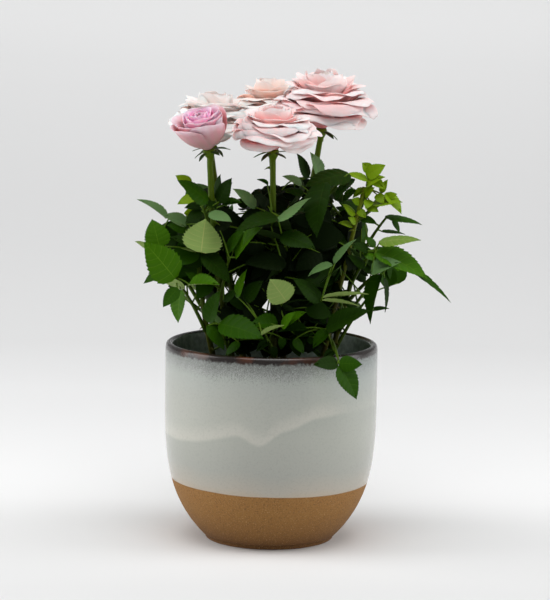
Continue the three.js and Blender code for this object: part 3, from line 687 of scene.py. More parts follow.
@dataclass(frozen=True)
class PetalFinish:
    """Petals that pale from base to rim, in one row of colours at the heart and one outside."""

    name: str
    heart: tuple[str, str, str]
    guard: tuple[str, str, str]
    nicks: float = 0.5

    def make(self) -> bpy.types.Material:
        """The material, which follows the petals' own along, outer and tone values."""
        recipe = Recipe(self.name, 0.6)
        place = recipe.place()
        along = recipe.value_of("along")
        cloud = recipe.noise(place, 160, 3)
        drift = recipe.sum("MULTIPLY_ADD", cloud, 0.2, recipe.sum("SUBTRACT", along, 0.1))
        drift = recipe.sum("MULTIPLY_ADD", recipe.value_of("tone"), 0.3, drift)
        rows = [
            recipe.ramp(drift, [(0.12, row[0]), (0.4, row[0]), (0.76, row[1]), (1.0, row[2])])
            for row in (self.heart, self.guard)
        ]
        outside = recipe.fade(recipe.value_of("outer"), 0.4, 0.9)
        tint = recipe.mix(outside, rows[0], rows[1])
        veins = recipe.fade(recipe.value_of("veins"), 0.2, 1, 0, 0.1)
        tint = recipe.mix(veins, tint, linear(self.heart[0]))
        near = recipe.fade(along, 0.93, 1.0)
        spots = recipe.fade(recipe.noise(place, 120, 4), 0.62, 0.7, 0, self.nicks)
        tint = recipe.mix(recipe.sum("MULTIPLY", near, spots), tint, linear("#a87a55"))
        recipe.colour(tint)
        recipe.fixed(Subsurface_Weight=0.7, Subsurface_Scale=0.002, Specular_IOR_Level=0.25)
        recipe.surface.inputs["Subsurface Radius"].default_value = (1.0, 0.6, 0.55)
        return recipe.material


@dataclass(frozen=True)
class LeafTint:
    """A leaf's three colours: its upper side, its midrib and its underside."""

    upper: str
    rib: str
    under: str
    gloss: float = 0.4
    shine: float = 0.25


class Tone(Enum):
    """The tints that are dealt out to the leaves, in the order of their material slots.

    DEEP, DARK, MID, BRIGHT and PALE are lit and shaded copies of one leaf green. DEEP and DARK are
    painted shade, for leaves inside the crown and leaves in shade. BRIGHT and PALE's upper side are
    painted light, for leaves that catch it, while PALE's underside is the leaves' own pale underside.
    GREY is the leaf green with a painted grey sheen. YOUNG is the young shoot's own yellow-green, partly
    painted light that shines through its leaves, and SEPAL is the sepals' own green.
    """

    DEEP = LeafTint("#0b1802", "#122006", "#20330c", 0.6, 0.06)
    DARK = LeafTint("#182f03", "#24400a", "#3e5b24", 0.5, 0.05)
    MID = LeafTint("#244602", "#35570b", "#6d8546", 0.46, 0.05)
    BRIGHT = LeafTint("#386201", "#537915", "#7f9550", 0.42, 0.08)
    PALE = LeafTint("#6b8a2c", "#9aa35c", "#819a52")
    YOUNG = LeafTint("#6f9004", "#8b9d20", "#87992f", 0.46, 0.12)
    SEPAL = LeafTint("#263f10", "#34501c", "#4f6d30", 0.5)
    GREY = LeafTint("#587a45", "#5a7644", "#6f8458", 0.5, 0.2)

    def slot(self) -> int:
        """Its first material slot, of three."""
        return 3 * list(Tone).index(self)


def leaf_materials() -> list[bpy.types.Material]:
    """The plain materials of every tint, three to a tint."""
    made = []
    for tone in Tone:
        tint, name = tone.value, "leaf_" + tone.name.lower()
        made.append(PlainFinish(name + "_upper", tint.upper, tint.gloss, tint.shine).make())
        made.append(PlainFinish(name + "_rib", tint.rib, tint.gloss + 0.08, tint.shine).make())
        made.append(PlainFinish(name + "_under", tint.under, 0.62, 0.12).make())
    return made


@dataclass
class Pot:
    """The stoneware pot: a straight side that tucks in to a turned foot by a power law."""

    height: float = 140 * MM
    belly: float = 75.2 * MM
    rim_wall: float = 5.2 * MM
    wall: float = 6 * MM
    floor: float = 9 * MM
    shoulder: float = 122 * MM
    tuck: float = 31 * MM
    tuck_power: float = 4.2
    lip: float = 0.4 * MM
    foot_radius: float = 45.6 * MM
    foot_height: float = 3.2 * MM
    foot_round: float = 0.8 * MM
    rim_outside: int = 13
    segments: int = 160

    def radius(self, height: Array) -> Array:
        """Outer radius at a height: belly less tuck b^power below the shoulder, less a lip above."""
        below = np.maximum(0, self.shoulder - height) / self.shoulder
        lip = np.maximum(0, height - self.shoulder) / (self.height - self.shoulder)
        return self.belly - self.tuck * below**self.tuck_power - self.lip * lip * lip

    def profile(self) -> tuple[Array, Array]:
        """The pot's half section from the middle of its underside round to its inner floor.

        Returns:
            Radii with heights, and a slot for each stretch: 0 outside and 1 inside.
        """
        foot, round_off = self.foot_radius, self.foot_round
        quarter = np.radians(np.linspace(-90, 0, 5))
        out = foot - round_off + round_off * np.cos(quarter)
        corner = np.stack([out, round_off * (1 + np.sin(quarter))], 1)
        heights = np.concatenate([np.linspace(3.4, 40, 26), np.linspace(44, 136, 30)]) * MM
        outer = np.stack([self.radius(heights), heights], 1)
        bead = self.rim_wall / 2
        centre = self.radius(self.height) - bead
        half = np.radians(np.linspace(0, 180, 17))
        rim = np.stack([centre + bead * np.cos(half), self.height - bead + bead * np.sin(half)], 1)
        depths = np.linspace(132, 16, 30) * MM
        inner = np.stack([self.radius(depths) - self.wall, depths], 1)
        floor_edge = self.radius(self.floor + 4 * MM) - self.wall - 3 * MM
        ends = np.array([[floor_edge, self.floor], [0, self.floor]])
        under = [[0, 0], [0.5 * foot, 0]]
        step = [[foot, self.foot_height - 0.3 * MM], [foot + 0.2 * MM, self.foot_height]]
        profile = np.concatenate([under, corner, step, outer, rim, inner, ends])
        outside = len(under) + len(corner) + len(step) + len(outer) + self.rim_outside
        return profile, (np.arange(len(profile) - 1) >= outside).astype(int)

    def build(self) -> bpy.types.Object:
        """The finished pot."""
        profile, slots = self.profile()
        skin = turned(profile, self.segments, slots)
        finishes = [StonewareFinish().make(), InnerGlazeFinish().make()]
        return piece("pot_glazed", skin, finishes, ["pot"])


@dataclass
class PottingMix:
    """The potting mix that fills the pot: an uneven top on a plain plug."""

    top: float = 104 * MM
    side_gap: float = 1.0 * MM
    depth: float = 30 * MM
    shoulder: float = 4 * MM
    bumps: float = 1.6 * MM
    rings: int = 46
    segments: int = 120

    def build(self, pot: Pot) -> bpy.types.Object:
        """Turns the plug and lifts its top by a ripple of short and long waves.

        Args:
            pot: The pot that it fills.

        Returns:
            The finished piece.
        """
        wall = pot.radius(self.top) - pot.wall - self.side_gap
        rings = np.linspace(wall, 0, self.rings)
        base = self.top - self.depth
        below = [[0, base], [wall, base], [wall, self.top - self.shoulder]]
        profile = np.concatenate([below, np.stack([rings, np.full(self.rings, self.top)], 1)])
        skin = turned(profile, self.segments)
        on_top = skin.points[:, 2] > self.top - 1e-6
        coarse = ripple(skin.points, 55, 3)
        fine = ripple(skin.points, 210, 4)
        skin.points[:, 2] += np.where(on_top, self.bumps * (0.6 * coarse + 0.5 * fine - 0.7), 0)
        return piece("potting_mix_bed", skin, [PottingMixFinish().make()], ["soil"])


@dataclass(frozen=True)
class Hip:
    """The swelling under a bloom, and the sepals round it."""

    radius: float = 4.2 * MM
    height: float = 5.5 * MM
    sepals: int = 5
    sepal_length: float = 10.5 * MM
    sepal_width: float = 3.8 * MM
    sepal_rise: float = -4

    def profile(self, tube: float) -> Array:
        """Radii and heights from the cane up over the swelling."""
        neck = [[0, -4], [tube / MM * 0.98, -4], [tube / MM * 1.1, -1.5]]
        swelling = [[3.3, 0.6], [4.2, 2.6], [4.1, 4.3], [3.6, 5.5], [0, 5.5]]
        return np.array(neck + swelling) * MM


@dataclass
class Cane:
    """One cane: a tapering limb from the potting mix to its tip, in one bend."""

    name: str
    foot: Pair
    tip: Triple
    bow: Pair
    radii: Pair
    finish: CaneFinish
    foot_height: float = 104.3
    sides: int = 16
    steps: int = 90
    swell: float = 0.22
    swell_span: float = 1.6 * MM
    rib: float = 0.035
    flare: float = 0.35
    flare_span: float = 6 * MM
    thorns: int = 9
    first_thorn: float = 118 * MM
    thorn_free: float = 26 * MM

    def ends(self) -> tuple[Array, Array, Array]:
        """The curve's start, the point it bends towards and its end, in metres."""
        start = np.array([*self.foot, self.foot_height]) * MM
        end = np.array(self.tip) * MM
        return start, (start + end) / 2 + np.array([*self.bow, 0]) * MM, end

    def line(self, steps: int) -> Array:
        """Points of the cane's centre line."""
        return bent_lines(*(p[None] for p in self.ends()), steps)[0]

    def at(self, height: float) -> tuple[Array, Array, float]:
        """The cane at a height.

        Args:
            height: The height in metres.

        Returns:
            The point of its centre line, its direction and its radius.
        """
        start, middle, end = self.ends()
        t = (height - start[2]) / (end[2] - start[2])
        point = (1 - t) ** 2 * start + 2 * t * (1 - t) * middle + t**2 * end
        way = unit(2 * (1 - t) * (middle - start) + 2 * t * (end - middle))
        return point, way, (self.radii[0] + (self.radii[1] - self.radii[0]) * t) * MM

    def bark(self, buds: list[float]) -> Skin:
        """The cane's skin: its taper with a swelling at each bud, low ribs and a flare at its foot.

        The radius is taper (1 + swell e^(-(d/swell span)^2) + rib cos(5a + 40z) + 0.05 ripple +
        flare e^(-(h/flare span)^2)), where d is the height from the nearest bud, h the height over
        the foot and a the angle round the cane.

        Args:
            buds: The heights that sprays grow from.

        Returns:
            The skin.
        """
        line = self.line(self.steps)
        start = line[:1] - np.array([[0, 0, 3 * MM]])
        line = np.concatenate([start, line])
        t = np.linspace(0, 1, len(line))[:, None]
        angle = np.linspace(0, 2 * np.pi, self.sides, endpoint=False)[None]
        taper = (self.radii[0] + (self.radii[1] - self.radii[0]) * t) * MM
        away = np.abs(line[:, 2:] - np.array([buds or [0.0]])).min(1, keepdims=True)
        ribs = self.rib * np.cos(5 * angle + 40 * line[:, 2:])
        slow = 0.05 * ripple(line, 35, len(self.name))[:, None]
        flare = self.flare * np.exp(-(((line[:, 2:] - line[0, 2]) / self.flare_span) ** 2))
        radii = taper * (1 + self.swell * np.exp(-((away / self.swell_span) ** 2)) + ribs + slow + flare)
        return tubes(line[None], radii[None], self.sides)

    def prickles(self, seed: int) -> Skin:
        """Hooked prickles that turn round the cane by the golden angle.

        Each one is a tapering tube from the cane's middle out to a point that hooks down.

        Args:
            seed: Where they are on the cane.

        Returns:
            All the prickles in one skin.
        """
        draw = np.random.default_rng(seed)
        span = (self.first_thorn, self.tip[2] * MM - self.thorn_free)
        heights = np.linspace(*span, self.thorns) + draw.uniform(-5, 5, self.thorns) * MM
        starts, middles, ends = [], [], []
        for k, height in enumerate(heights):
            point, way, radius = self.at(height)
            out = square_to(aim(k * GOLDEN + 40 * seed, 0), way)
            length = draw.uniform(2.6, 4.2) * MM
            starts.append(point + 0.7 * radius * out)
            middles.append(point + (radius + 0.6 * length) * out)
            ends.append(point + (radius + length) * out - 0.4 * length * way)
        lines = bent_lines(np.array(starts), np.array(middles), np.array(ends), 5)
        radii = np.array([1.35, 0.95, 0.62, 0.38, 0.2, 0.06]) * MM
        return tubes(lines, np.broadcast_to(radii, lines.shape[:2]), 8)

    def build(self, buds: list[float], seed: int, extra: list[Skin]) -> bpy.types.Object:
        """The finished cane.

        Args:
            buds: The heights that sprays grow from.
            seed: Where its prickles are.
            extra: What else is part of it, such as its hip.

        Returns:
            The piece.
        """
        skin = joined([self.bark(buds), self.prickles(seed), *extra])
        return piece(self.name + "_bark", skin, [self.finish.make()], [self.name])


class Habit(Enum):
    """How a bloom opens, as the angles on its dome, a power and how far its petals bend."""

    OPEN = (8.0, 86.0, 0.8, 34.0, -10.0)
    CUP = (6.0, 68.0, 1.3, 22.0, 40.0)


@dataclass
class Petals:
    """The petals of one bloom as rows of numbers, one for each petal, in metres and radians."""

    bearing: Array
    seat_radius: Array
    seat_height: Array
    start: Array
    end: Array
    length: Array
    width: Array
    lift: Array
    curl: Array
    ruffle: Array
    tone: Array
    outer: Array


@dataclass
class Bloom:
    """One bloom: thin petals that run from a small seat to their places on a dome."""

    name: str
    cane: str
    reach: float
    rise: float
    middle: float
    lean: Pair
    petals: int
    habit: Habit
    finish: PetalFinish
    seed: int
    ruffle: float = 1.0
    hanging: tuple[Pair, ...] = ()
    widths: Pair = (26, 1.25)
    curls: Pair = (10, 80)
    bow: float = 13
    roll: float = 0.77
    across: int = 18
    along: int = 14
    rim_rows: int = 7
    gap: float = 0.4
    fall: float = 1.35
    hip_height: float = 5.5
    thickness: float = 0.34 * MM
    tip: Array = field(default_factory=lambda: np.zeros(3))

    def axes(self) -> Array:
        """The bloom's own right, forward and axis, as three rows."""
        axis = aim(self.lean[0], 90 - self.lean[1])
        right = square_to(np.array([1.0, 0.0, 0.0]), axis)
        return np.stack([right, np.cross(axis, right), axis])

    def placed(self, points: Array) -> Array:
        """Points of the bloom's own frame, in the row frame."""
        return self.tip + points @ self.axes()

    def room(self, bearings: Array, others: list["Bloom"]) -> Array:
        """How far the bloom reaches on each bearing before it meets a neighbour.

        The border with a neighbour is a plane square to the line between their tips, which it
        divides as their reaches do. Along a bearing it lies at border / cos(angle to that line).

        Args:
            bearings: Bearings in degrees.
            others: The other blooms.

        Returns:
            The reach on each bearing, in millimetres.
        """
        room = np.full(bearings.shape, self.reach)
        for other in others:
            away = (other.tip - self.tip)[:2] / MM
            apart = np.linalg.norm(away)
            border = apart * self.reach / (self.reach + other.reach) - self.gap
            for spread in (-16, 0, 16):
                turn = np.radians(bearings + spread)
                facing = (np.cos(turn) * away[0] + np.sin(turn) * away[1]) / apart
                room = np.where(facing > 0.05, np.minimum(room, border / np.maximum(facing, 0.05)), room)
        return room

    def rows(self, others: list["Bloom"]) -> Petals:
        """The petals from the innermost out, by the source's rule with more of them.

        Petal i of n stands on bearing i times the golden angle and ends on the dome at the angle
        from + (to - from)(i / (n - 1))^power from its top. The dome's height falls as the angle's
        cosine to the power of the fall. A petal is longer by what its folded rim takes.

        Args:
            others: The other blooms, which it doesn't reach into.

        Returns:
            The petals' numbers.
        """
        draw = np.random.default_rng(self.seed)
        first, last, power, bend_in, bend_out = self.habit.value
        low = len(self.hanging)
        count = self.petals + low
        share = np.concatenate([np.linspace(0, 1, self.petals), np.ones(low)])
        bearing = np.arange(count) * GOLDEN + draw.uniform(-9, 9, count)
        dome = first + (last - first) * share**power + draw.uniform(-4, 4, count)
        if low:
            bearing[-low:] = [pair[0] for pair in self.hanging]
            dome[-low:] = [pair[1] for pair in self.hanging]
        reach = self.room(bearing, others) * draw.uniform(0.9, 1.0, count)
        seat = np.stack([1.5 + 3.2 * share, 10.5 - 2.6 * share])
        angle = np.radians(dome)
        fall = np.sign(np.cos(angle)) * np.abs(np.cos(angle)) ** self.fall
        ends = np.stack([reach * np.sin(angle), self.hip_height + self.middle + self.rise * fall])
        run = ends - seat
        slope = np.arctan2(run[0], run[1])
        settled = smooth(share, 0, 0.5) if self.habit is Habit.OPEN else share
        bend = np.radians(bend_in + (bend_out - bend_in) * settled + draw.uniform(-6, 6, count))
        bend = np.where(np.abs(bend) < 0.02, 0.02, bend)
        length = np.linalg.norm(run, axis=0) * bend / np.sin(bend)
        curl = np.radians(draw.uniform(*self.curls, count) * smooth(share, 0.05, 0.5))
        length = length * (1 + (1 - self.roll) * 0.55 * np.minimum(1, curl))
        first_width, last_width = self.widths
        width = first_width + (last_width * self.reach - first_width) * share**0.8
        width = width * draw.uniform(0.88, 1.12, count)
        return Petals(
            bearing=np.radians(bearing),
            seat_radius=seat[0] * MM,
            seat_height=seat[1] * MM,
            start=slope + bend,
            end=slope - bend,
            length=length * MM,
            width=width * MM,
            lift=(2 - 2 * share) * draw.uniform(0.0, 1.6, count) * MM,
            curl=curl,
            ruffle=self.ruffle * (0.5 + 1.2 * share) * draw.uniform(0.6, 1.3, count) * MM,
            tone=draw.uniform(-0.5, 0.5, count),
            outer=share,
        )

    def surface(self, rows: Petals) -> tuple[Array, Array]:
        """The petals' middle surfaces, as petals by rows by columns by three.

        A petal leaves its seat at its start angle from upright and turns evenly to its end angle,
        with its curl added as its last quarter begins, which folds its rim down; the distance out
        and the height are the running sums of the sine and cosine of that angle. Across, it bends
        to a circle of the distance from the axis, or of the bloom's bow if that is wider, and
        waves square to the rim run along it.

        Args:
            rows: The petals' numbers.

        Returns:
            The points and how far along the petal each one lies.
        """
        draw = np.random.default_rng(self.seed + 50)
        count = len(rows.bearing)
        each = (slice(None), None, None)
        u = np.linspace(-1, 1, self.across + 1)[None, None, :]
        flat = np.linspace(0, self.roll - 0.08, self.along + 1 - self.rim_rows)
        share = np.append(flat, np.linspace(self.roll - 0.02, 1, self.rim_rows))[None, :, None]
        phases = draw.uniform(0, TURN, (4, count))[:, :, None, None]
        round_off = 0.4 - 0.18 * rows.outer[each]
        edge = 1 - round_off * np.abs(u) ** (2.8 + rows.outer[each]) + 0.022 * np.sin(3.4 * u + phases[0])
        edge = edge + 0.008 * np.sin(9 * u + phases[1])
        v = np.clip(share * edge, 0, 1.06)
        t = np.linspace(0, 1.06, 54)
        late = smooth(t, self.roll - 0.05, self.roll + 0.13) + 0.35 * np.maximum(0, t - 0.9) / 0.1
        angle = rows.start[:, None] + (rows.end - rows.start)[:, None] * t + rows.curl[:, None] * late
        step = (rows.length * (t[1] - t[0]))[:, None]
        out = np.cumsum(np.sin(angle), 1) * step + rows.seat_radius[:, None]
        rise = np.cumsum(np.cos(angle), 1) * step + rows.seat_height[:, None]
        place = v / (t[1] - t[0])
        low = np.minimum(place.astype(int), len(t) - 2)
        part = place - low
        pick = np.arange(count)[each]
        radius = out[pick, low] * (1 - part) + out[pick, low + 1] * part
        height = rise[pick, low] * (1 - part) + rise[pick, low + 1] * part
        claw = 0.36 + 0.64 * np.sin(np.pi / 2 * np.minimum(1, v / 0.55))
        end = np.maximum(0, v - 0.62) / 0.38
        half = rows.width[each] * claw * (1 - 0.1 * end**2) / 2
        bow = np.maximum(radius, self.bow * MM)
        turn = u * half / bow
        out, side = radius - bow * (1 - np.cos(turn)), bow * np.sin(turn)
        cos, sin = np.cos(rows.bearing)[each], np.sin(rows.bearing)[each]
        wave = np.sin(3.6 * u + phases[2]) + 0.35 * np.sin(8 * u + phases[3] + 3 * v)
        wave = rows.ruffle[each] * wave * smooth(v, 0.35, 1.0)
        facing = (rows.end + 0.7 * rows.curl)[each]
        out = out - np.cos(facing) * wave
        height = height + rows.lift[each] * u * u * v + np.sin(facing) * wave
        points = np.stack([out * cos - side * sin, out * sin + side * cos, height], -1)
        return points, np.broadcast_to(v, points.shape[:3])

    def shells(self, others: list["Bloom"]) -> Skin:
        """Every petal as a closed shell, with the values that its finish reads.

        Args:
            others: The other blooms.

        Returns:
            All the petals in one skin.
        """
        rows = self.rows(others)
        middle, along = self.surface(rows)
        marks = {
            "along": along,
            "tone": rows.tone[:, None, None],
            "veins": np.abs(np.sin(19 * np.linspace(-1, 1, self.across + 1))) ** 3,
            "outer": rows.outer[:, None, None],
        }
        skin = closed_shells(middle, self.thickness / 2, marks)
        skin.points = self.placed(skin.points)
        return skin

    def core(self) -> Skin:
        """The closed heart that the petals stand round, turned from a small pear shape."""
        rows = [[0, 5.8], [3.2, 5.8], [5.6, 7.6], [6.4, 9.6], [5.6, 12.4], [3, 15], [0, 16]]
        skin = turned(np.array(rows) * MM, 24)
        zeros = np.zeros(len(skin.points))
        outer = (skin.points[:, 2] < 10 * MM).astype(float)
        skin.values = {"along": zeros, "tone": zeros, "veins": zeros, "outer": outer, "crease": zeros}
        skin.points = self.placed(skin.points)
        return skin

    def build(self, others: list["Bloom"]) -> bpy.types.Object:
        """The finished bloom.

        Args:
            others: The other blooms.

        Returns:
            The piece.
        """
        skin = joined([self.shells(others), self.core()])
        return piece(self.name + "_petals", skin, [self.finish.make()], [self.name])

    def holds(self, points: Array) -> bool:
        """Whether any of the points lies in the space that the bloom takes up."""
        own = (points - self.tip) @ self.axes().T / MM
        out = np.hypot(own[:, 0], own[:, 1])
        limit = np.interp(own[:, 2], [-2, 5, 26, 44], [12, self.reach, self.reach, 10])
        return bool(((own[:, 2] > -2) & (own[:, 2] < 44) & (out < limit)).any())


USUAL_WIDTH = 0.76
# Places across and along a blade, as shares of its length.
SAMPLE_PLACES = np.array(
    [[0, 0.3], [0, 0.55], [0, 0.8], [0, 1.0], [0.36, 0.4], [-0.36, 0.4], [0.2, 0.75], [-0.2, 0.75]]
)


@dataclass
class Leaflet:
    """One leaf blade: where it starts, where it points, where its upper side looks, its size."""

    root: Array
    along: Array
    face: Array
    length: float
    tone: Tone
    width: float = USUAL_WIDTH
    arch: float = 0.5

    def samples(self) -> Array:
        """Eight points of the blade, for the tests of what it may touch."""
        across = np.cross(self.along, self.face)
        ways = SAMPLE_PLACES * self.length
        return self.root + ways[:, :1] * across * self.width / USUAL_WIDTH + ways[:, 1:] * self.along

    def grid(self) -> Array:
        """Points all over the blade, 3 to 6 mm apart."""
        across = np.cross(self.along, self.face)
        v, u = np.meshgrid(np.linspace(0.08, 0.96, 8), np.linspace(-0.8, 0.8, 5), indexing="ij")
        half = 1.2 * self.width * np.sqrt(v * (1 - v)) * u
        sag = 0.5 * self.arch * v * v
        ways = np.stack([half.ravel(), v.ravel(), -sag.ravel()], 1) * self.length
        return self.root + ways @ np.stack([across, self.along, self.face])


def seen(points: Array) -> Array:
    """Where the camera sees points on the plane y = 0: the rays' x and z there."""
    eye = np.array(CAMERA_PLACE)
    share = -eye[1] / (points[:, 1:2] - eye[1])
    return eye[[0, 2]] + (points[:, [0, 2]] - eye[[0, 2]]) * share


def sighted(x: float, y: float, depth: float) -> Array:
    """The point at a depth that the camera sees at a reading.

    With the reading's place in the frame turned back by the roll and divided by the focal length,
    the ray from the camera runs by (x, cos p - y sin p, -sin p - y cos p) for the pitch p.

    Args:
        x: The reading to the right.
        y: The reading down.
        depth: The point's own y in millimetres.

    Returns:
        The point in millimetres.
    """
    across, down = (
        corner + part / READING_SCALE - size / 2 for corner, part, size in zip(READING_CORNER, (x, y), FRAME)
    )
    pitch, roll = math.radians(CAMERA_PITCH), math.radians(CAMERA_ROLL)
    right = (across * math.cos(roll) + down * math.sin(roll)) / FOCUS_PIXELS
    below = (down * math.cos(roll) - across * math.sin(roll)) / FOCUS_PIXELS
    away = math.cos(pitch) - math.sin(pitch) * below
    ray = np.array([right, away, -math.sin(pitch) - math.cos(pitch) * below])
    eye = np.array(CAMERA_PLACE) / MM
    return eye + ray * (depth - eye[1]) / ray[1]


@dataclass(frozen=True)
class Accent:
    """A leaf that is clearly seen from the front: readings and depths of its root and its tip.

    Its width is the one seen, in pixels, and it turns about its midrib until it looks that wide.
    """

    x: float
    y: float
    depth: float
    tip_x: float
    tip_y: float
    tip_depth: float
    pixels: float
    tone: Tone
    under: bool = False
    arch: float = 0.35

    def leaflet(self, growth: Pair) -> Leaflet:
        """The blade: as broad as 0.72 of its length, turned by the arc cosine of seen to real width.

        It starts half its arch above the straight way to its tip, so that it comes down on it. Its
        places and its width are rounded to a tenth of a millimetre.

        Args:
            growth: How much longer and wider than its reading it is made.

        Returns:
            The leaflet.
        """
        root = np.round(sighted(self.x, self.y, self.depth), 1)
        tip = np.round(sighted(self.tip_x, self.tip_y, self.tip_depth), 1)
        tip = np.round(root + growth[0] * (tip - root), 1)
        distance = (self.depth + self.tip_depth) / 2 - CAMERA_PLACE[1] / MM
        width_seen = round(round(self.pixels * distance / FOCUS_PIXELS, 1) * growth[1], 1) * MM
        root, tip = root * MM, tip * MM
        chord = unit(tip - root)
        length = float(np.linalg.norm(tip - root))
        real = max(0.72 * length, width_seen * 1.02)
        roll = min(math.acos(width_seen / real), math.radians(68))
        view = square_to(np.array(CAMERA_PLACE) - root, chord)
        across = np.cross(chord, view)
        facing = -view if self.under else view
        side = across if across[2] > 0 else -across
        face = unit(math.cos(roll) * facing + math.sin(roll) * side)
        along = unit(math.cos(self.arch / 2) * chord + math.sin(self.arch / 2) * face)
        width = width_seen / math.cos(roll) / length
        return Leaflet(root, along, square_to(face, along), length * 1.01, self.tone, width, self.arch)


@dataclass
class Blades:
    """The making of leaf blades: thin closed shells, many at a time."""

    cells: int = 9
    offsets: tuple[float, ...] = (0.0,)
    peaks: tuple[float, ...] = (0.0,)
    columns: tuple[float, ...] = (-1.0, -0.5, 0.0, 0.5, 1.0)
    tooth: float = 0.0
    loose: float = 1.0
    quilt: float = 0.0
    point: float = 0.85
    slant: float = 0.08
    thickness: float = 0.34 * MM

    def outline(self, v: Array) -> Array:
        """Half width at a share of the length: v^0.5 (1-v)^point, at one where it is widest."""
        inner = np.clip(v, 0.01, 0.994)
        widest = 0.5 / (0.5 + self.point)
        return inner**0.5 * (1 - inner) ** self.point / (widest**0.5 * (1 - widest) ** self.point)

    def shells(self, leaflets: list[Leaflet], seed: int) -> Skin:
        """All the blades in one skin.

        A point (u, v) lies half width u across and v + 4 slant |u| v (1 - v) along an arc that
        droops by arch radians, so that each row slants forward like a side vein. It is lifted by
        the fold along the midrib and by half a sine wave between two side veins, and the rows
        marked as peaks stand out as teeth that point forward.

        Args:
            leaflets: The blades' places and sizes.
            seed: Their small differences.

        Returns:
            The skin, with three slots for each tint.
        """
        draw = np.random.default_rng(seed)
        count = len(leaflets)
        u = np.array(self.columns)[None, None, :]
        offsets = np.array(self.offsets)
        v = np.append((np.arange(self.cells)[:, None] + offsets).ravel() / self.cells, 1.0)[None, :, None]
        peak = np.append(np.tile(self.peaks, self.cells), 0.0)[None, :, None]
        bulge = np.append(np.tile(np.sin(np.pi * offsets), self.cells), 0.0)[None, :, None]
        edge = smooth(np.abs(u), 0.5, 1.0)
        along = v + self.slant * np.abs(u) * 4 * v * (1 - v) + edge * peak * 0.25 / self.cells
        half = self.outline(along) * (1 - self.tooth * edge * (1 - peak) * smooth(v, 0.02, 0.1))
        length = np.array([leaf.length for leaf in leaflets])[:, None, None]
        width = length * np.array([leaf.width for leaf in leaflets])[:, None, None]
        width = width * (1 + self.loose * draw.uniform(-0.08, 0.06, (count, 1, 1)))
        arch = np.array([leaf.arch for leaf in leaflets])[:, None, None]
        arch = arch * (1 + self.loose * draw.uniform(-0.6, 0.5, (count, 1, 1))) + 0.02
        fold = draw.uniform(0.08, 0.34, (count, 1, 1))
        roll = draw.uniform(-0.22, 0.12, (count, 1, 1))
        twist = self.loose * draw.uniform(-0.25, 0.25, (count, 1, 1))
        x = u * half * width / 2
        quilt = self.quilt * length * bulge * smooth(np.abs(u), 0.02, 0.3) * (1 - v) ** 0.5
        z = fold * np.abs(x) + roll * x * x / (0.3 * width) + quilt + twist * x * v
        sweep = arch * along
        y = length * np.sin(sweep) / arch + np.sin(sweep) * z
        z = -length * (1 - np.cos(sweep)) / arch + np.cos(sweep) * z
        local = np.stack([np.broadcast_to(x, z.shape), y, z], -1)
        thick = 1 + 0.7 * (np.abs(u) < 0.1)
        skin = closed_shells(local, self.thickness / 2 * thick, {})
        ways = np.array([[np.cross(leaf.along, leaf.face), leaf.along, leaf.face] for leaf in leaflets])
        roots = np.array([leaf.root for leaf in leaflets])
        placed = np.einsum("npk,nkc->npc", skin.points.reshape(count, -1, 3), ways)
        skin.points = (roots[:, None] + placed).reshape(-1, 3)
        slots = np.array([leaf.tone.slot() for leaf in leaflets])[:, None] + self.kinds(v.size)[None]
        skin.quad_slots = slots.ravel()
        return skin

    def kinds(self, rows: int) -> Array:
        """Which of a tint's slots each face takes: upper side, midrib and veins, or underside.

        Args:
            rows: How many rows of points a blade has.

        Returns:
            A number from 0 to 2 for each face above, then for each one below.
        """
        stretches = len(self.columns) - 1
        face = np.arange((rows - 1) * stretches)
        cell = face // stretches % len(self.offsets)
        rib = (face % stretches == len(self.columns) // 2 - 1) & (len(self.columns) % 2 == 0)
        rib = rib | ((cell == 0) & (len(self.offsets) > 1))
        return np.concatenate([rib.astype(int), np.where(rib, 1, 2)])


@dataclass
class Spray:
    """One mass of foliage: its cane, where its stem ends and how the leaf at its end looks.

    Its start is a height, its end a bearing, a distance from the axis and a height, and its leaf and
    face are a bearing and a rise each.
    """

    name: str
    cane: str
    start: float
    end: Triple
    leaf: Pair
    face: Pair
    size: float
    tone: Tone = Tone.MID
    growth: Pair = (1, 1)

    @property
    def young(self) -> bool:
        """Whether it belongs to a young shoot."""
        return self.tone is Tone.YOUNG


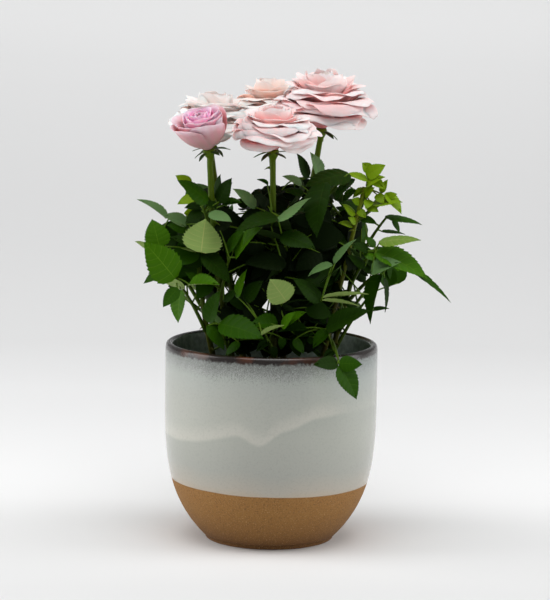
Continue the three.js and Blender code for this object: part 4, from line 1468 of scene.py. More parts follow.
@dataclass
class Crown:
    """The leaves and twigs: every spray grown by the source's rule and carried to finer twigs."""

    canes: dict[str, Cane]
    blooms: list[Bloom]
    sprays: list[Spray]
    accents: dict[str, list[Accent]]
    outline: list[Pair]
    openings: list[Triple]
    pairs: int = 2
    side_leaves: int = 9
    young_side_leaves: int = 2
    fine_leaves: int = 11
    inner_leaves: int = 22
    stem_steps: int = 3
    stem_radii: Pair = (1.5 * MM, 0.8 * MM)
    stalk_radii: Pair = (0.65 * MM, 0.42 * MM)
    bends: tuple[float, ...] = (0.12, 0.25, 0.0, -0.12)
    sways: tuple[float, ...] = (0.0, 0.15, -0.15, 0.3, -0.3)
    reach: tuple[Pair, ...] = (
        (112, 58), (142, 80), (150, 84), (178, 90), (198, 102), (220, 100), (240, 90), (262, 72), (285, 30),
    )
    fine_reach: tuple[Pair, ...] = (
        (112, 38), (142, 52), (156, 60), (172, 76), (198, 92), (218, 90), (232, 76), (244, 50), (254, 20),
    )
    spacing: float = 2.1 * MM
    pot_top: float = 141.2
    pot_band: Pair = (68, 76.6)
    mix_top: float = 106.5
    # Shares of the crown's reach inside which blades are given the painted deep and dark shade tints.
    deep_shade_share: float = 0.55
    dark_shade_share: float = 0.76
    opening_scale: float = 0.7
    opening_margin: float = 2.5
    veil_reach: float = 3.4
    veil_depth: float = 0.5
    inner_span: Pair = (132, 226)
    inner_drop: float = 45
    inner_size: float = 27
    ring: Array = field(default_factory=lambda: np.zeros((0, 2)))
    gaps: Array = field(default_factory=lambda: np.zeros((0, 3)))
    shown: list[Leaflet] = field(default_factory=list)
    veil: Array = field(default_factory=lambda: np.zeros((0, 3)))
    jitter: np.random.Generator = field(default_factory=lambda: np.random.default_rng(5))
    leaflets: dict[str, list[Leaflet]] = field(default_factory=dict)
    stems: list[Array] = field(default_factory=list)
    stalks: list[Array] = field(default_factory=list)
    young_stalks: list[Array] = field(default_factory=list)
    taken: Array = field(default_factory=lambda: np.zeros((0, 3)))
    limbs: Array = field(default_factory=lambda: np.zeros((0, 3)))

    def prepare(self) -> None:
        """Notes the canes' centre lines, and what the camera sees on the plane y = 0, in millimetres.

        The leaves keep off the lines, inside the outline's ring and out of the gaps.
        """
        self.limbs = np.concatenate([cane.line(60) for cane in self.canes.values()])
        self.ring = np.array([np.round(sighted(x, y, 0)[[0, 2]]) for x, y in self.outline])
        gaps = []
        for x, y, radius in self.openings:
            size = round(radius / READING_SCALE * self.opening_scale, 1)
            gaps.append([*np.round(sighted(x, y, 0)[[0, 2]]), size])
        self.gaps = np.array(gaps)

    def share_out(self, points: Array, fine: bool = False) -> float:
        """How far out the furthest of the points lies, as a share of the crown's reach there."""
        heights, reaches = np.array(self.fine_reach if fine else self.reach).T * MM
        limit = np.interp(points[:, 2], heights, reaches, left=reaches[0], right=1 * MM)
        return float((np.hypot(points[:, 0], points[:, 1]) / limit).max())

    def tone_at(self, leaflet: Leaflet, usual: Tone) -> Tone:
        """A blade's tint: painted shade deeper inside the crown, its spray's own tint further out.

        Args:
            leaflet: The blade.
            usual: Its spray's tint.

        Returns:
            The tint.
        """
        out = self.share_out(leaflet.samples()[:3]) + self.jitter.uniform(-0.12, 0.12)
        if usual in (Tone.YOUNG, Tone.SEPAL):
            return usual
        # Painted shade: blades near the crown's axis take the deep and dark shade copies of the leaf green.
        if out < self.deep_shade_share:
            return Tone.DEEP
        if out < self.dark_shade_share:
            return Tone.DARK
        return usual

    def off_pot(self, points: Array) -> bool:
        """Whether the points keep off the pot's wall and the potting mix."""
        out, height = np.hypot(points[:, 0], points[:, 1]) / MM, points[:, 2] / MM
        inner, outer = self.pot_band
        wall = (height < self.pot_top) & (out > inner) & (out < outer)
        mix = (height < self.mix_top) & (out < outer)
        return not bool((wall | mix).any())

    def in_view(self, points: Array) -> bool:
        """Whether a blade keeps to the crown's outline as seen from the front.

        The outline is a ring of corners on the plane y = 0; a point is inside if the level line
        from it crosses an odd number of the ring's sides. The blade also leaves the openings free
        and covers none of the accents.

        Args:
            points: The blade's samples.

        Returns:
            True if it does.
        """
        flat = seen(points) / MM
        after = np.roll(self.ring, -1, 0)
        across, up = self.ring.T
        run, climb = (after - self.ring).T
        x, z = flat[:, :1], flat[:, 1:]
        spans = (up > z) != (after[:, 1] > z)
        cross = across + run * (z - up) / (climb + 1e-9)
        if (((spans & (x < cross)).sum(1) % 2) == 0).any():
            return False
        away = np.linalg.norm(flat[:, None] - self.gaps[None, :, :2], axis=-1)
        if (away < self.gaps[:, 2] + self.opening_margin).any():
            return False
        near = np.linalg.norm(flat[:, None] - self.veil[None, :, :2], axis=-1) < self.veil_reach
        return not bool((near & (points[:, 1:2] / MM < self.veil[:, 2] - self.veil_depth)).any())

    def is_clear(self, leaflet: Leaflet, free: bool, fine: bool) -> bool:
        """Whether a blade may grow where it stands.

        Args:
            leaflet: The blade.
            free: Whether it may stand out of the crown's reach.
            fine: Whether it keeps to the closer reach of the finer twigs.

        Returns:
            True if it touches no pot, cane, bloom or other blade.
        """
        points = leaflet.samples()
        if not self.off_pot(points) or not (free or self.share_out(points, fine) < 1.01):
            return False
        if not self.in_view(points) or any(bloom.holds(points) for bloom in self.blooms):
            return False
        others = np.concatenate([self.limbs, self.taken])
        apart = np.linalg.norm(points[:, None] - others[None], axis=-1).min()
        return bool(apart > self.spacing)

    def stem_line(self, spray: Spray) -> tuple[Array, Array]:
        """A spray's stem in the first of its bends that keeps off pot, canes and blooms.

        Args:
            spray: The spray.

        Returns:
            The stem's points and the level direction away from the cane.
        """
        point, way, radius = self.canes[spray.cane].at(spray.start * MM)
        end = polar(spray.end[0], spray.end[1] * MM, spray.end[2] * MM)
        flat = unit((end - point) * np.array([1.0, 1.0, 0.0]))
        start = point + square_to(flat, way) * radius * 0.8
        run = end - start
        across = np.array([-run[1], run[0], 0.0])
        best = None
        for lift in self.bends:
            for sway in self.sways:
                middle = (start + end) / 2 + lift * np.linalg.norm(run) * UP + sway * across
                line = bent_lines(start[None], middle[None], end[None], 12)[0]
                far = line[4:]
                apart = np.linalg.norm(far[:, None] - self.limbs[None], axis=-1).min()
                fine = self.off_pot(far) and not any(bloom.holds(far) for bloom in self.blooms)
                if best is None:
                    best = line
                if fine and apart > 4.5 * MM:
                    return line, flat
        return best, flat

    def leaf_on(
        self, line: Array, face: Array, end: tuple[Array, Array], size: float, tone: Tone, random: Draws
    ) -> list[Leaflet]:
        """The leaflets of one compound leaf, the end one first and then the pairs inwards.

        Args:
            line: The leaf stalk's points.
            face: Where its upper side looks.
            end: The end leaflet's direction and its upper side's.
            size: The end leaflet's length.
            tone: Their tint.
            random: Numbers from 0 to 1.

        Returns:
            The leaflets.
        """
        last = len(line) - 1
        way = unit(line[last] - line[last - 1])
        tilted = square_to(face, way)
        made = [Leaflet(line[last] - 0.8 * MM * way, end[0], end[1], size, tone)]
        for pair in range(self.pairs):
            place = (0.9 - 0.27 * pair) * last
            before = int(place)
            root = line[before] + (line[before + 1] - line[before]) * (place - before)
            for hand in (-1, 1):
                turn = math.radians(hand * (58 + 14 * random()))
                tilt = -0.25 + 0.5 * random()
                length = size * (0.88 - 0.14 * pair) * (0.9 + 0.15 * random())
                side = np.cross(way, tilted)
                along = unit(way * math.cos(turn) + side * math.sin(turn) + tilted * tilt)
                made.append(Leaflet(root, along, square_to(tilted, along), length, tone))
        return made

    def keep(self, name: str, leaflets: list[Leaflet], free: int, fewest: int, fine: bool = False) -> bool:
        """Keeps the blades of a leaf that are clear, if there are enough of them.

        Args:
            name: The spray they belong to.
            leaflets: The blades.
            free: How many of the first ones may stand out of the crown's reach.
            fewest: How few blades still make a leaf.
            fine: Whether they keep to the closer reach of the finer twigs.

        Returns:
            True if the leaf is kept.
        """
        clear = [leaf for i, leaf in enumerate(leaflets) if self.is_clear(leaf, i < free, fine)]
        if len(clear) < fewest:
            return False
        for leaf in clear:
            leaf.tone = leaf.tone if free else self.tone_at(leaf, leaf.tone)
        self.leaflets.setdefault(name, []).extend(clear)
        self.taken = np.concatenate([self.taken, *[leaf.samples() for leaf in clear]])
        return True

    def side_leaf(
        self, spray: Spray, root: Array, axis: Array, turn: float, flat: Array,
        scale: float, tone: Tone, random: Draws, fine: bool = False,
    ) -> None:
        """A whole leaf on its stalk, turned about the twig that it grows from.

        Args:
            spray: The spray it belongs to.
            root: Where its stalk starts.
            axis: The twig's direction.
            turn: How far it is turned about the twig, in degrees.
            flat: The level direction away from the cane.
            scale: Its size as a share of the spray's.
            tone: Its tint.
            random: Numbers from 0 to 1.
            fine: Whether it keeps to the closer reach of the finer twigs.
        """
        size = spray.size * MM * scale
        off = turned_about(square_to(UP, axis), axis, turn)
        heading = unit(0.45 * axis + off)
        tip = root + heading * size * (0.75 + 0.5 * random())
        light = unit(0.75 * UP + 0.8 * flat + 0.42 * self.jitter.normal(size=3))
        along = unit(heading - 0.35 * UP + 0.16 * self.jitter.normal(size=3))
        length = size * (0.8 + 0.2 * random())
        middle = (root + tip) / 2 + 0.06 * size * UP
        line = bent_lines(root[None], middle[None], tip[None], 4)[0]
        leaflets = self.leaf_on(line, light, (along, square_to(light, along)), length, tone, random)
        clear = self.share_out(line, fine) < 1 and self.off_pot(line[1:])
        if clear and not any(bloom.holds(line) for bloom in self.blooms):
            if self.keep(spray.name, leaflets, 0, 2, fine):
                (self.young_stalks if spray.young else self.stalks).append(line)

    def grow(self) -> None:
        """Grows every spray: first the stems and the accents, then the other leaves."""
        self.prepare()
        grown = []
        for number, spray in enumerate(self.sprays):
            random = Draws(number + 1)
            line, flat = self.stem_line(spray)
            self.stems.append(line)
            face, along = aim(*spray.face), aim(*spray.leaf)
            coarse = line[:: len(line) // self.stem_steps]
            end = (along, square_to(face, along))
            leaflets = self.leaf_on(coarse, face, end, spray.size * MM, spray.tone, random)
            self.show(spray, line)
            grown.append((spray, random, coarse, flat, leaflets))
        for spray, _, _, _, leaflets in grown:
            first = 1 if spray.name in self.accents else 0
            self.keep(spray.name, leaflets[first:], 1 - first, 1)
        for spray, random, line, flat, _ in grown:
            axis = unit(line[-1] - line[0])
            start = 360 * random()
            sides = self.young_side_leaves if spray.young else self.side_leaves
            for k in range(sides):
                root = line[1] + (line[-2] - line[1]) * k / (sides - 1)
                # Painted light and shade: side leaves alternate their spray's lit or shaded tint with the
                # middle green.
                tone = Tone.YOUNG if spray.young else (spray.tone, Tone.MID)[k % 2]
                self.side_leaf(spray, root, axis, start + k * GOLDEN, flat, 1.0, tone, random)
        for spray, random, line, flat, _ in grown:
            axis = unit(line[-1] - line[0])
            for k in range(0 if spray.young else self.fine_leaves):
                share = 0.15 + 0.8 * k / (self.fine_leaves - 1)
                root = line[0] + (line[-1] - line[0]) * share
                near = line[np.abs(np.linspace(0, 1, len(line)) - share).argmin()]
                root = 0.5 * (root + near)
                # Painted light and shade: the finer leaves take the middle, lit and shaded copies of the
                # leaf green in turn.
                tone = (Tone.MID, Tone.BRIGHT, Tone.DARK)[k % 3]
                self.side_leaf(spray, root, axis, 77 + k * GOLDEN, flat, 0.84, tone, random, True)
        self.fill()

    def show(self, spray: Spray, line: Array) -> None:
        """Puts a spray's accents in, each on a stalk from the nearest point of its stem.

        Args:
            spray: The spray.
            line: Its stem's points.
        """
        for accent in self.accents.get(spray.name, []):
            leaf = accent.leaflet(spray.growth)
            outer = line[4:]
            start = outer[np.linalg.norm(outer - leaf.root, axis=1).argmin()]
            middle = (start + leaf.root) / 2 + 0.12 * np.linalg.norm(leaf.root - start) * UP
            stalk = bent_lines(start[None], middle[None], (leaf.root + 0.6 * MM * leaf.along)[None], 4)[0]
            (self.young_stalks if spray.young else self.stalks).append(stalk)
            self.shown.append(leaf)
            grid = leaf.grid()
            self.taken = np.concatenate([self.taken, grid])
            self.veil = np.concatenate([self.veil, np.column_stack([seen(grid), grid[:, 1]]) / MM])

    def fill(self) -> None:
        """Leaves that grow from the canes themselves, in painted deep and dark shade tints that darken the
        inside of the crown.
        """
        by_cane = {spray.cane: spray for spray in self.sprays if not spray.young}
        low, high = self.inner_span
        for number, (name, cane) in enumerate(self.canes.items()):
            spray = by_cane.get(name)
            if spray is None:
                continue
            random = Draws(200 + number)
            top = min(cane.tip[2] - self.inner_drop, high)
            for k in range(self.inner_leaves):
                height = low + (top - low) * k / (self.inner_leaves - 1)
                point, way, radius = cane.at(height * MM)
                turn = 31 * number + k * GOLDEN
                flat = aim(turn, 0)
                shape = Spray(spray.name, name, height, spray.end, spray.leaf, spray.face, self.inner_size)
                root = point + square_to(flat, way) * radius * 0.7
                # Painted shade: the inner leaves take the deep and dark shade copies of the leaf green in
                # turn.
                tone = (Tone.DEEP, Tone.DARK)[k % 2]
                self.side_leaf(shape, root, unit(flat + 0.5 * UP), 40 * k, flat, 1.0, tone, random, True)

    def sepals(self, hip: Hip) -> list[Leaflet]:
        """The sepals under each bloom, which hang from its hip.

        Args:
            hip: Their number and size.

        Returns:
            Narrow blades.
        """
        made = []
        for bloom in self.blooms:
            right, forward, axis = bloom.axes()
            for k in range(hip.sepals):
                angle = math.radians(360 / hip.sepals * k + 20)
                out = math.cos(angle) * right + math.sin(angle) * forward
                rise = math.radians(hip.sepal_rise + 14 * math.sin(5 * k + bloom.seed))
                along = math.cos(rise) * out + math.sin(rise) * axis
                root = bloom.tip + 0.62 * hip.height * axis + 0.8 * hip.radius * out
                length = hip.sepal_length * (0.9 + 0.25 * math.sin(3 * k + bloom.seed) ** 2)
                width = hip.sepal_width / hip.sepal_length
                made.append(Leaflet(root, along, square_to(axis, along), length, Tone.SEPAL, width, 0.4))
        return made

    def twigs(
        self, name: str, lines: list[Array], radii: Pair, finish: PlainFinish, slot: str
    ) -> None:
        """One piece of twigs or leaf stalks.

        Args:
            name: The piece's name.
            lines: Their centre lines.
            radii: Their radii at root and tip.
            finish: Their finish.
            slot: The record's material slot; not used.
        """
        points = np.array(lines)
        taper = np.broadcast_to(np.linspace(*radii, points.shape[1]), points.shape[:2])
        piece(name, tubes(points, taper, 7), [finish.make()])

    def build(self, hip: Hip) -> None:
        """Grows the crown and makes its pieces: leaves before, behind and young, then the twigs.

        Args:
            hip: The hips that carry the sepals.
        """
        self.grow()
        materials = leaf_materials()
        blades = Blades()
        fine = Blades(
            cells=7,
            offsets=(0, 0.045, 0.3, 0.53, 0.77),
            peaks=(0, 0, 1, 0, 1),
            columns=(-1.0, -0.5, -0.022, 0.022, 0.5, 1.0),
            tooth=0.1,
            loose=0.0,
            quilt=0.011,
            point=0.98,
            slant=0.14,
        )
        young = {spray.name for spray in self.sprays if spray.young}
        behind = {spray.name for spray in self.sprays if spray.name.startswith("spray_back")}
        front = {spray.name for spray in self.sprays} - young - behind
        groups = [
            ("leaves_front", sorted(front), "leaf_green"),
            ("leaves_behind", sorted(behind), "leaf_green"),
            ("leaves_young", sorted(young), "leaf_young"),
        ]
        for number, (name, members, slot) in enumerate(groups):
            leaflets = [leaf for spray in members for leaf in self.leaflets.get(spray, [])]
            LOG.info("%s: %d blades", name, len(leaflets))
            skins = [blades.shells(leaflets, number + 7)] if leaflets else []
            if slot == "leaf_young":
                skins.append(fine.shells([leaf for leaf in self.shown if leaf.tone is Tone.YOUNG], 18))
            piece(name, joined(skins), materials, members)
        near = [leaf for leaf in self.shown if leaf.tone is not Tone.YOUNG]
        piece("leaves_near", fine.shells(near, 17), materials)
        piece("sepals", blades.shells(self.sepals(hip), 31), materials)
        green = PlainFinish("twig_green", "#3e550b", 0.5, 0.15)
        pale = PlainFinish("stalk_green", "#4e6b12", 0.5, 0.15)
        fresh = PlainFinish("stalk_young", "#727a1c", 0.5, 0.15)
        self.twigs("twigs", self.stems, self.stem_radii, green, "cane_green")
        self.twigs("leaf_stalks", self.stalks, self.stalk_radii, pale, "cane_green")
        self.twigs("young_stalks", self.young_stalks, self.stalk_radii, fresh, "cane_young")


@dataclass(frozen=True)
class PaperFinish:
    """The studio's paper, in nine pale greys from the front of its floor to the top of its rise.

    The greys are painted light and shade: lightest on the floor round the pot, greyer at the front
    of the floor and up the rise.
    """

    near: float = -0.4
    run: float = 2.8
    shares: tuple[float, ...] = (0.087, 0.184, 0.254, 0.338, 0.397, 0.512, 0.65, 0.803, 0.903)
    greys: str = "#e2e2e2 #f7f7f7 #f4f4f4 #f0f0f0 #e4e4e4 #e3e3e3 #e4e4e4 #e1e1e1 #e3e3e3"

    def make(self) -> bpy.types.Material:
        """The material, which follows the way back over the floor and up its rise."""
        recipe = Recipe("paper", 0.9)
        place = recipe.place()
        way = recipe.sum("ADD", recipe.part(place, "Y"), recipe.part(place, "Z"))
        share = recipe.sum("DIVIDE", recipe.sum("SUBTRACT", way, self.near), self.run)
        recipe.colour(recipe.ramp(share, list(zip(self.shares, self.greys.split()))))
        return recipe.material


@dataclass(frozen=True)
class Lamp:
    """One soft box: where it stands, what it looks at, its size, watts and angle of spread."""

    name: str
    place: Triple
    target: Triple
    size: Pair
    power: float
    spread: float = 180

    def build(self) -> None:
        """Puts the lamp into the scene."""
        data = bpy.data.lights.new(self.name, "AREA")
        data.shape = "RECTANGLE"
        data.size, data.size_y = self.size
        data.energy = self.power
        data.spread = math.radians(self.spread)
        way = Vector(self.target) - Vector(self.place)
        turn = way.to_track_quat("-Z", "Y").to_matrix().to_4x4()
        put(self.name, data).matrix_world = Matrix.Translation(self.place) @ turn


@dataclass
class Studio:
    """The pale sweep that the pot stands on and the soft lights round it."""

    width: float = 5.0
    near: float = -4.0
    hinge: float = 0.6
    far: float = 1.98
    slope: float = 0.277
    bend: float = 0.12
    world: float = 0.3
    lamps: tuple[Lamp, ...] = (
        Lamp("overhead", (0, -0.5, 1.7), (0, -0.15, 0.1), (1.4, 1.2), 13),
        Lamp("left_box", (-1.2, -0.05, 0.6), (0, -0.1, 0.2), (0.8, 1.2), 9.8),
        Lamp("right_box", (1.2, -0.05, 0.6), (0, -0.1, 0.2), (0.8, 1.2), 8.4),
        Lamp("bloom_box", (0.02, -0.2, 0.95), (0.02, 0, 0.3), (0.5, 0.4), 0.9),
        Lamp("front_box", (0.2, -2.2, 1.5), (0, 0, 0.2), (1.4, 0.8), 2.5),
        Lamp("back_box", (0, 1.8, 1.5), (0, 1.75, 0.2), (3.2, 0.8), 8, 100),
    )

    def sweep(self) -> None:
        """A floor that rises gently behind, low enough to leave the view from behind free.

        Its height is the slope times half the sum of the way past the hinge and that way's size,
        which the bend rounds off.
        """
        back = np.append(self.near, np.linspace(self.hinge - 0.5, self.far, 32))
        past = back - self.hinge
        height = self.slope * (np.hypot(past, self.bend) + past) / 2
        height = np.where(back < self.hinge - 0.45, 0, height)
        across = np.broadcast_to([-self.width / 2, self.width / 2], (len(back), 2))
        points = np.stack([across, np.stack([back, back], 1), np.stack([height, height], 1)], -1)
        mesh = bpy.data.meshes.new("sweep")
        mesh.from_pydata(points.reshape(-1, 3), [], grid_quads(len(back), 2).tolist())
        mesh.polygons.foreach_set("use_smooth", np.ones(len(mesh.polygons), bool))
        mesh.materials.append(PaperFinish().make())
        put("sweep", mesh)

    def build(self) -> None:
        """The sweep, the lamps and an even light from all round."""
        self.sweep()
        for lamp in self.lamps:
            lamp.build()
        world = bpy.data.worlds.new("studio")
        world.use_nodes = True
        background = next(n for n in world.node_tree.nodes if n.type == "BACKGROUND")
        background.inputs[0].default_value = linear("#f6f7f8")
        background.inputs[1].default_value = self.world
        bpy.context.scene.world = world
        bpy.context.scene.view_settings.view_transform = "Standard"


GREEN_CANE = CaneFinish("cane_green", "#453c1a", "#3c5008", "#496006")
YOUNG_CANE = CaneFinish("cane_young", "#40361a", "#4d4d12", "#6a7a12")

CANES = [
    Cane("cane_right", (-3, 16), (32.6, 20, 284.8), (4, -9), (2.6, 2.0), GREEN_CANE),
    Cane("cane_front", (2, -16), (-1, -24, 272.7), (0, 3), (2.6, 2.0), GREEN_CANE),
    Cane("cane_left", (-22, -14), (-44.2, -36, 274), (-9, 0), (2.5, 2.0), GREEN_CANE),
    Cane("cane_back_left", (-16, 16), (-45, 27, 271), (-2, 6), (2.4, 1.9), GREEN_CANE),
    Cane("cane_back", (10, 22), (-3, 62, 281), (0, 4), (2.4, 1.9), GREEN_CANE),
    Cane("cane_young", (30, -10), (63, -12, 252), (0, -4), (2.0, 1.3), YOUNG_CANE),
    Cane("cane_side_left", (-33, -2), (-51, -30, 199), (-7, -4), (2.2, 1.5), GREEN_CANE),
    Cane("cane_side_right", (34, 10), (60, 4, 206), (4, 2), (2.2, 1.5), GREEN_CANE),
]

PINK_PETAL = PetalFinish("petal_pink", ("#ffa3a1", "#ffd3d1", "#ffefed"), ("#ff9496", "#ffc6c7", "#ffe6e4"))
# The rose's outer row is a dull mauve that darkens to the petals' bases: partly the outer petals' own duller
# colour, partly painted shade under the cup.
ROSE_PETAL = PetalFinish(
    "petal_rose", ("#ff3898", "#ffadd6", "#ffe0f0"), ("#b88c89", "#cf9ea2", "#f6d6e0"), 0.3
)
PALE_PETAL = PetalFinish("petal_pale", ("#ffd6c9", "#ffefe9", "#fff8f5"), ("#ffdcd2", "#ffefea", "#fff8f5"))
PEACH_PETAL = PetalFinish(
    "petal_peach", ("#ffb8a2", "#ffe2d8", "#fff3ee"), ("#ffc4b5", "#ffe3db", "#fff3ee")
)

BLOOMS = [
    Bloom(
        "bloom_right", "cane_right", reach=39.5, rise=26.5, middle=15, lean=(-60, 4), petals=44,
        habit=Habit.OPEN, finish=PINK_PETAL, seed=5, ruffle=0.8,
        hanging=((-52, 112), (-75, 104), (-118, 100)), widths=(25, 1.35), curls=(45, 90),
    ),
    Bloom(
        "bloom_front", "cane_front", reach=34, rise=18, middle=12, lean=(-90, 6), petals=40,
        habit=Habit.OPEN, finish=PINK_PETAL, seed=8, ruffle=0.8,
        hanging=((-128, 114), (-48, 108)), widths=(25, 1.35), curls=(45, 90),
    ),
    Bloom(
        "bloom_left", "cane_left", reach=19, rise=5, middle=21, lean=(-125, 22), petals=26,
        habit=Habit.CUP, finish=ROSE_PETAL, seed=13, ruffle=0.5,
        widths=(13, 2.0), curls=(0, 55), bow=8,
    ),
    Bloom(
        "bloom_back_left", "cane_back_left", reach=33, rise=25, middle=13, lean=(0, 5), petals=42,
        habit=Habit.OPEN, finish=PALE_PETAL, seed=21, ruffle=0.5,
        widths=(29, 1.5), curls=(45, 85),
    ),
    Bloom(
        "bloom_back", "cane_back", reach=26, rise=21, middle=16, lean=(110, 4), petals=32,
        habit=Habit.OPEN, finish=PEACH_PETAL, seed=34, ruffle=0.7,
        widths=(22, 1.55), curls=(40, 85),
    ),
]

# Clearly seen leaves by spray: a reading of the frame and a depth for root and tip, the width
# that is seen in pixels, the tint, and whether the underside shows. The tint paints the light and
# shade that each leaf gets, as a lit or shaded copy of the leaf green.
SEEN_LEAVES = {
    "front_left_low": [
        (298, 632, -50, 340, 503, -50, 16, "MID"), (338, 636, -56, 512, 692, -66, 26, "MID"),
        (290, 640, -56, 357, 740, -56, 14, "MID"), (418, 708, -48, 362, 762, -50, 9, "MID"),
    ],
    "left": [
        (160, 455, -56, 38, 310, -64, 37, "BRIGHT"), (110, 432, -42, 35, 473, -40, 10, "MID"),
        (200, 490, -50, 72, 448, -46, 9, "PALE", True), (215, 480, -54, 337, 478, -62, 11, "BRIGHT"),
        (186, 500, -50, 172, 630, -50, 16, "BRIGHT"), (172, 494, -56, 112, 568, -58, 15, "MID"),
    ],
    "left_light": [
        (98, 332, -46, 68, 218, -42, 27, "BRIGHT"), (265, 349, -52, 282, 217.5, -44, 41.7, "PALE", True),
        (256, 346, -44, 143, 288, -46, 13, "DARK"), (270, 352, -44, 378, 474, -48, 20, "DARK"),
        (252, 466, -44, 204, 432, -46, 9, "MID"),
    ],
    "left_far": [(60, 330, -36, 0, 306, -34, 6, "PALE", True)],
    "upper_left": [(125, 215, -16, 10, 137, -14, 8, "GREY")],
    "young_left": [
        (222, 82, 2, 163, 42, -2, 13, "YOUNG"), (246, 130, 0, 170, 156, -4, 11, "YOUNG"),
    ],
    "crown_left": [
        (207, 240, -22, 113, 200, -24, 13, "GREY"), (203, 265, -28, 128, 240, -30, 10, "MID"),
        (292, 148, -40, 172, 62, -46, 17, "MID"), (326, 178, -36, 240, 133, -38, 9, "DARK"),
        (265, 165, -28, 198, 172, -30, 9, "DARK"), (268, 182, -30, 203, 228, -34, 11, "DARK"),
        (335, 150, -34, 386, 53, -36, 16, "DARK"), (330, 130, -28, 341, 38, -30, 9, "DARK"),
        (352, 162, -34, 428, 150, -36, 8, "MID"),
    ],
    "crown_left_front": [(300, 190, -46, 386, 227, -54, 12, "GREY")],
    "crown_front": [
        (482, 172, -24, 393, 95, -26, 12, "GREY"), (532, 166, -26, 478, 118, -30, 12, "DEEP"),
        (532, 80, -20, 488, 57, -20, 4, "MID"), (574, 212, -46, 404, 262, -54, 15, "DARK"),
        (586, 215, -42, 706, 180, -38, 10, "DARK"),
    ],
    "centre_left": [
        (366, 352, -36, 446, 254, -40, 11, "MID"), (405, 374, -44, 508, 247, -52, 13, "BRIGHT"),
        (352, 542, -42, 418, 498, -44, 9, "DARK"),
    ],
    "centre_dark": [(602, 386, -40, 438, 396, -50, 21, "DEEP")],
    "centre_light": [
        (600, 642, -50, 684, 588, -54, 10, "BRIGHT"),
        (606, 545.5, -58, 540.5, 458, -62, 30.3, "PALE", True),
    ],
    "front_low": [
        (572, 640, -50, 460, 638, -56, 17, "MID"), (588, 652, -54, 638, 588, -58, 9, "BRIGHT"),
        (505, 681, -64, 597, 640, -66, 4, "PALE", True), (438, 542, -44, 512, 464, -48, 16, "DARK"),
        (410, 532, -48, 446, 418, -46, 9, "BRIGHT"), (592, 690, -44, 584, 738, -44, 9, "MID"),
        (550, 726, -42, 562, 772, -42, 9, "DARK"), (535, 706, -42, 486, 745, -42, 9, "DARK"),
    ],
    "crown_right_up": [
        (590, 102, -12, 520, 98, -14, 8, "DEEP"), (692, 52, 8, 648, -46, 6, 11, "DARK"),
        (735, 46, 12, 702, -50, 10, 12, "GREY"),
    ],
    "crown_right": [
        (857, 36, -16, 680, 86, -30, 20, "DARK"), (876, 55, -12, 800, 142, -18, 10, "MID"),
        (882, 98, -8, 830, 152, -10, 8, "MID"),
    ],
    "right_hanging": [
        (666, 82, -12, 590, 44, -14, 8, "GREY"), (676, 112, -16, 594, 100, -18, 9, "DARK"),
        (760, 70, -40, 726, 286, -52, 26, "DARK"),
    ],
    "young_right_top": [
        (936, 20, -10, 914, -4, -12, 9, "YOUNG"), (950, 62, -14, 990, 90, -18, 8, "YOUNG"),
        (918, 120, -14, 950, 96, -20, 8, "YOUNG"), (902, 150, -12, 872, 140, -16, 7, "YOUNG"),
        (968, 118, -14, 990, 148, -18, 8, "YOUNG"), (1004, 130, -12, 1040, 118, -14, 7, "YOUNG"),
        (940, 140, -14, 926, 170, -20, 8, "YOUNG"), (896, 180, -14, 918, 206, -18, 7, "YOUNG"),
        (884, 230, -14, 858, 214, -18, 6, "YOUNG"), (930, 168, -14, 966, 184, -18, 7, "YOUNG"),
        (926, 46, -12, 988, 8, -14, 12, "YOUNG"), (932, 62, -12, 858, 41, -14, 6, "YOUNG"),
        (924, 86, -14, 986, 54, -18, 7, "YOUNG"), (922, 100, -10, 880, 126, -12, 6, "YOUNG"),
    ],
    "young_right": [
        (984, 112, -12, 1006, 68, -12, 6, "YOUNG"), (1000, 114, -12, 1054, 180, -14, 9, "YOUNG"),
        (950, 156, -12, 1047, 150, -16, 8, "YOUNG"), (880, 200, -14, 838, 164, -16, 6, "YOUNG"),
        (870, 246, -14, 824, 234, -16, 5, "YOUNG"),
    ],
    "right_top": [
        (1000, 206, -8, 1147, 238, -12, 7, "MID"), (1030, 214, -6, 1058, 273, -6, 6, "MID"),
        (984, 266, -2, 1080, 277, -2, 4, "MID"), (902, 214, -12, 968, 236, -14, 8, "MID"),
    ],
    "right_light": [
        (945, 432, -40, 1062, 388, -46, 15, "GREY"), (962, 350, -32, 1168, 452, -40, 22, "BRIGHT"),
        (974, 312, -34, 1142, 300, -38, 11, "PALE"), (962, 325, -26, 918, 288, -28, 8, "MID"),
        (932, 346, -30, 864, 318, -32, 10, "DARK"), (922, 408, -30, 850, 362, -32, 10, "DARK"),
        (916, 352, -30, 992, 384, -32, 9, "BRIGHT"),
    ],
    "right_far": [
        (986, 440, -34, 940, 634, -34, 14, "MID"), (996, 448, -22, 1001, 590, -22, 5, "DARK"),
        (1062, 396, -34, 1262, 546, -36, 7, "MID"),
    ],
    "right_low": [(940, 582, -28, 1016, 574, -30, 5, "MID")],
    "right_front": [
        (746, 540, -50, 632, 456, -54, 17, "DARK"), (752, 530, -62, 932, 515, -66, 5, "PALE", True),
        (750, 541, -60, 897, 563, -62, 4, "PALE", True), (798, 396, -50, 882, 298, -46, 7, "GREY"),
        (790, 400, -52, 693, 443, -54, 8, "GREY"),
    ],
    "right_front_low": [
        (686, 652, -46, 574, 666, -50, 10, "DARK"), (638, 694, -46, 674, 756, -48, 10, "MID"),
        (772, 664, -46, 712, 732, -48, 12, "MID"), (797, 744, -50, 752, 772, -52, 9, "DARK"),
        (765, 656, -54, 938, 582, -62, 19, "DARK"),
    ],
    "right_centre": [
        (572, 228, -52, 701, 131, -44, 9, "GREY"), (583, 280, -46, 720, 334, -54, 19, "DARK"),
        (742, 350, -34, 640, 424, -40, 21, "DEEP"),
    ],
    "trailing": [
        (812, 796, -80, 714, 800, -82, 15, "DARK"), (816, 794, -80, 908, 798, -80, 17, "MID"),
        (816, 802, -80, 886, 936, -80, 22, "MID"),
    ],
}

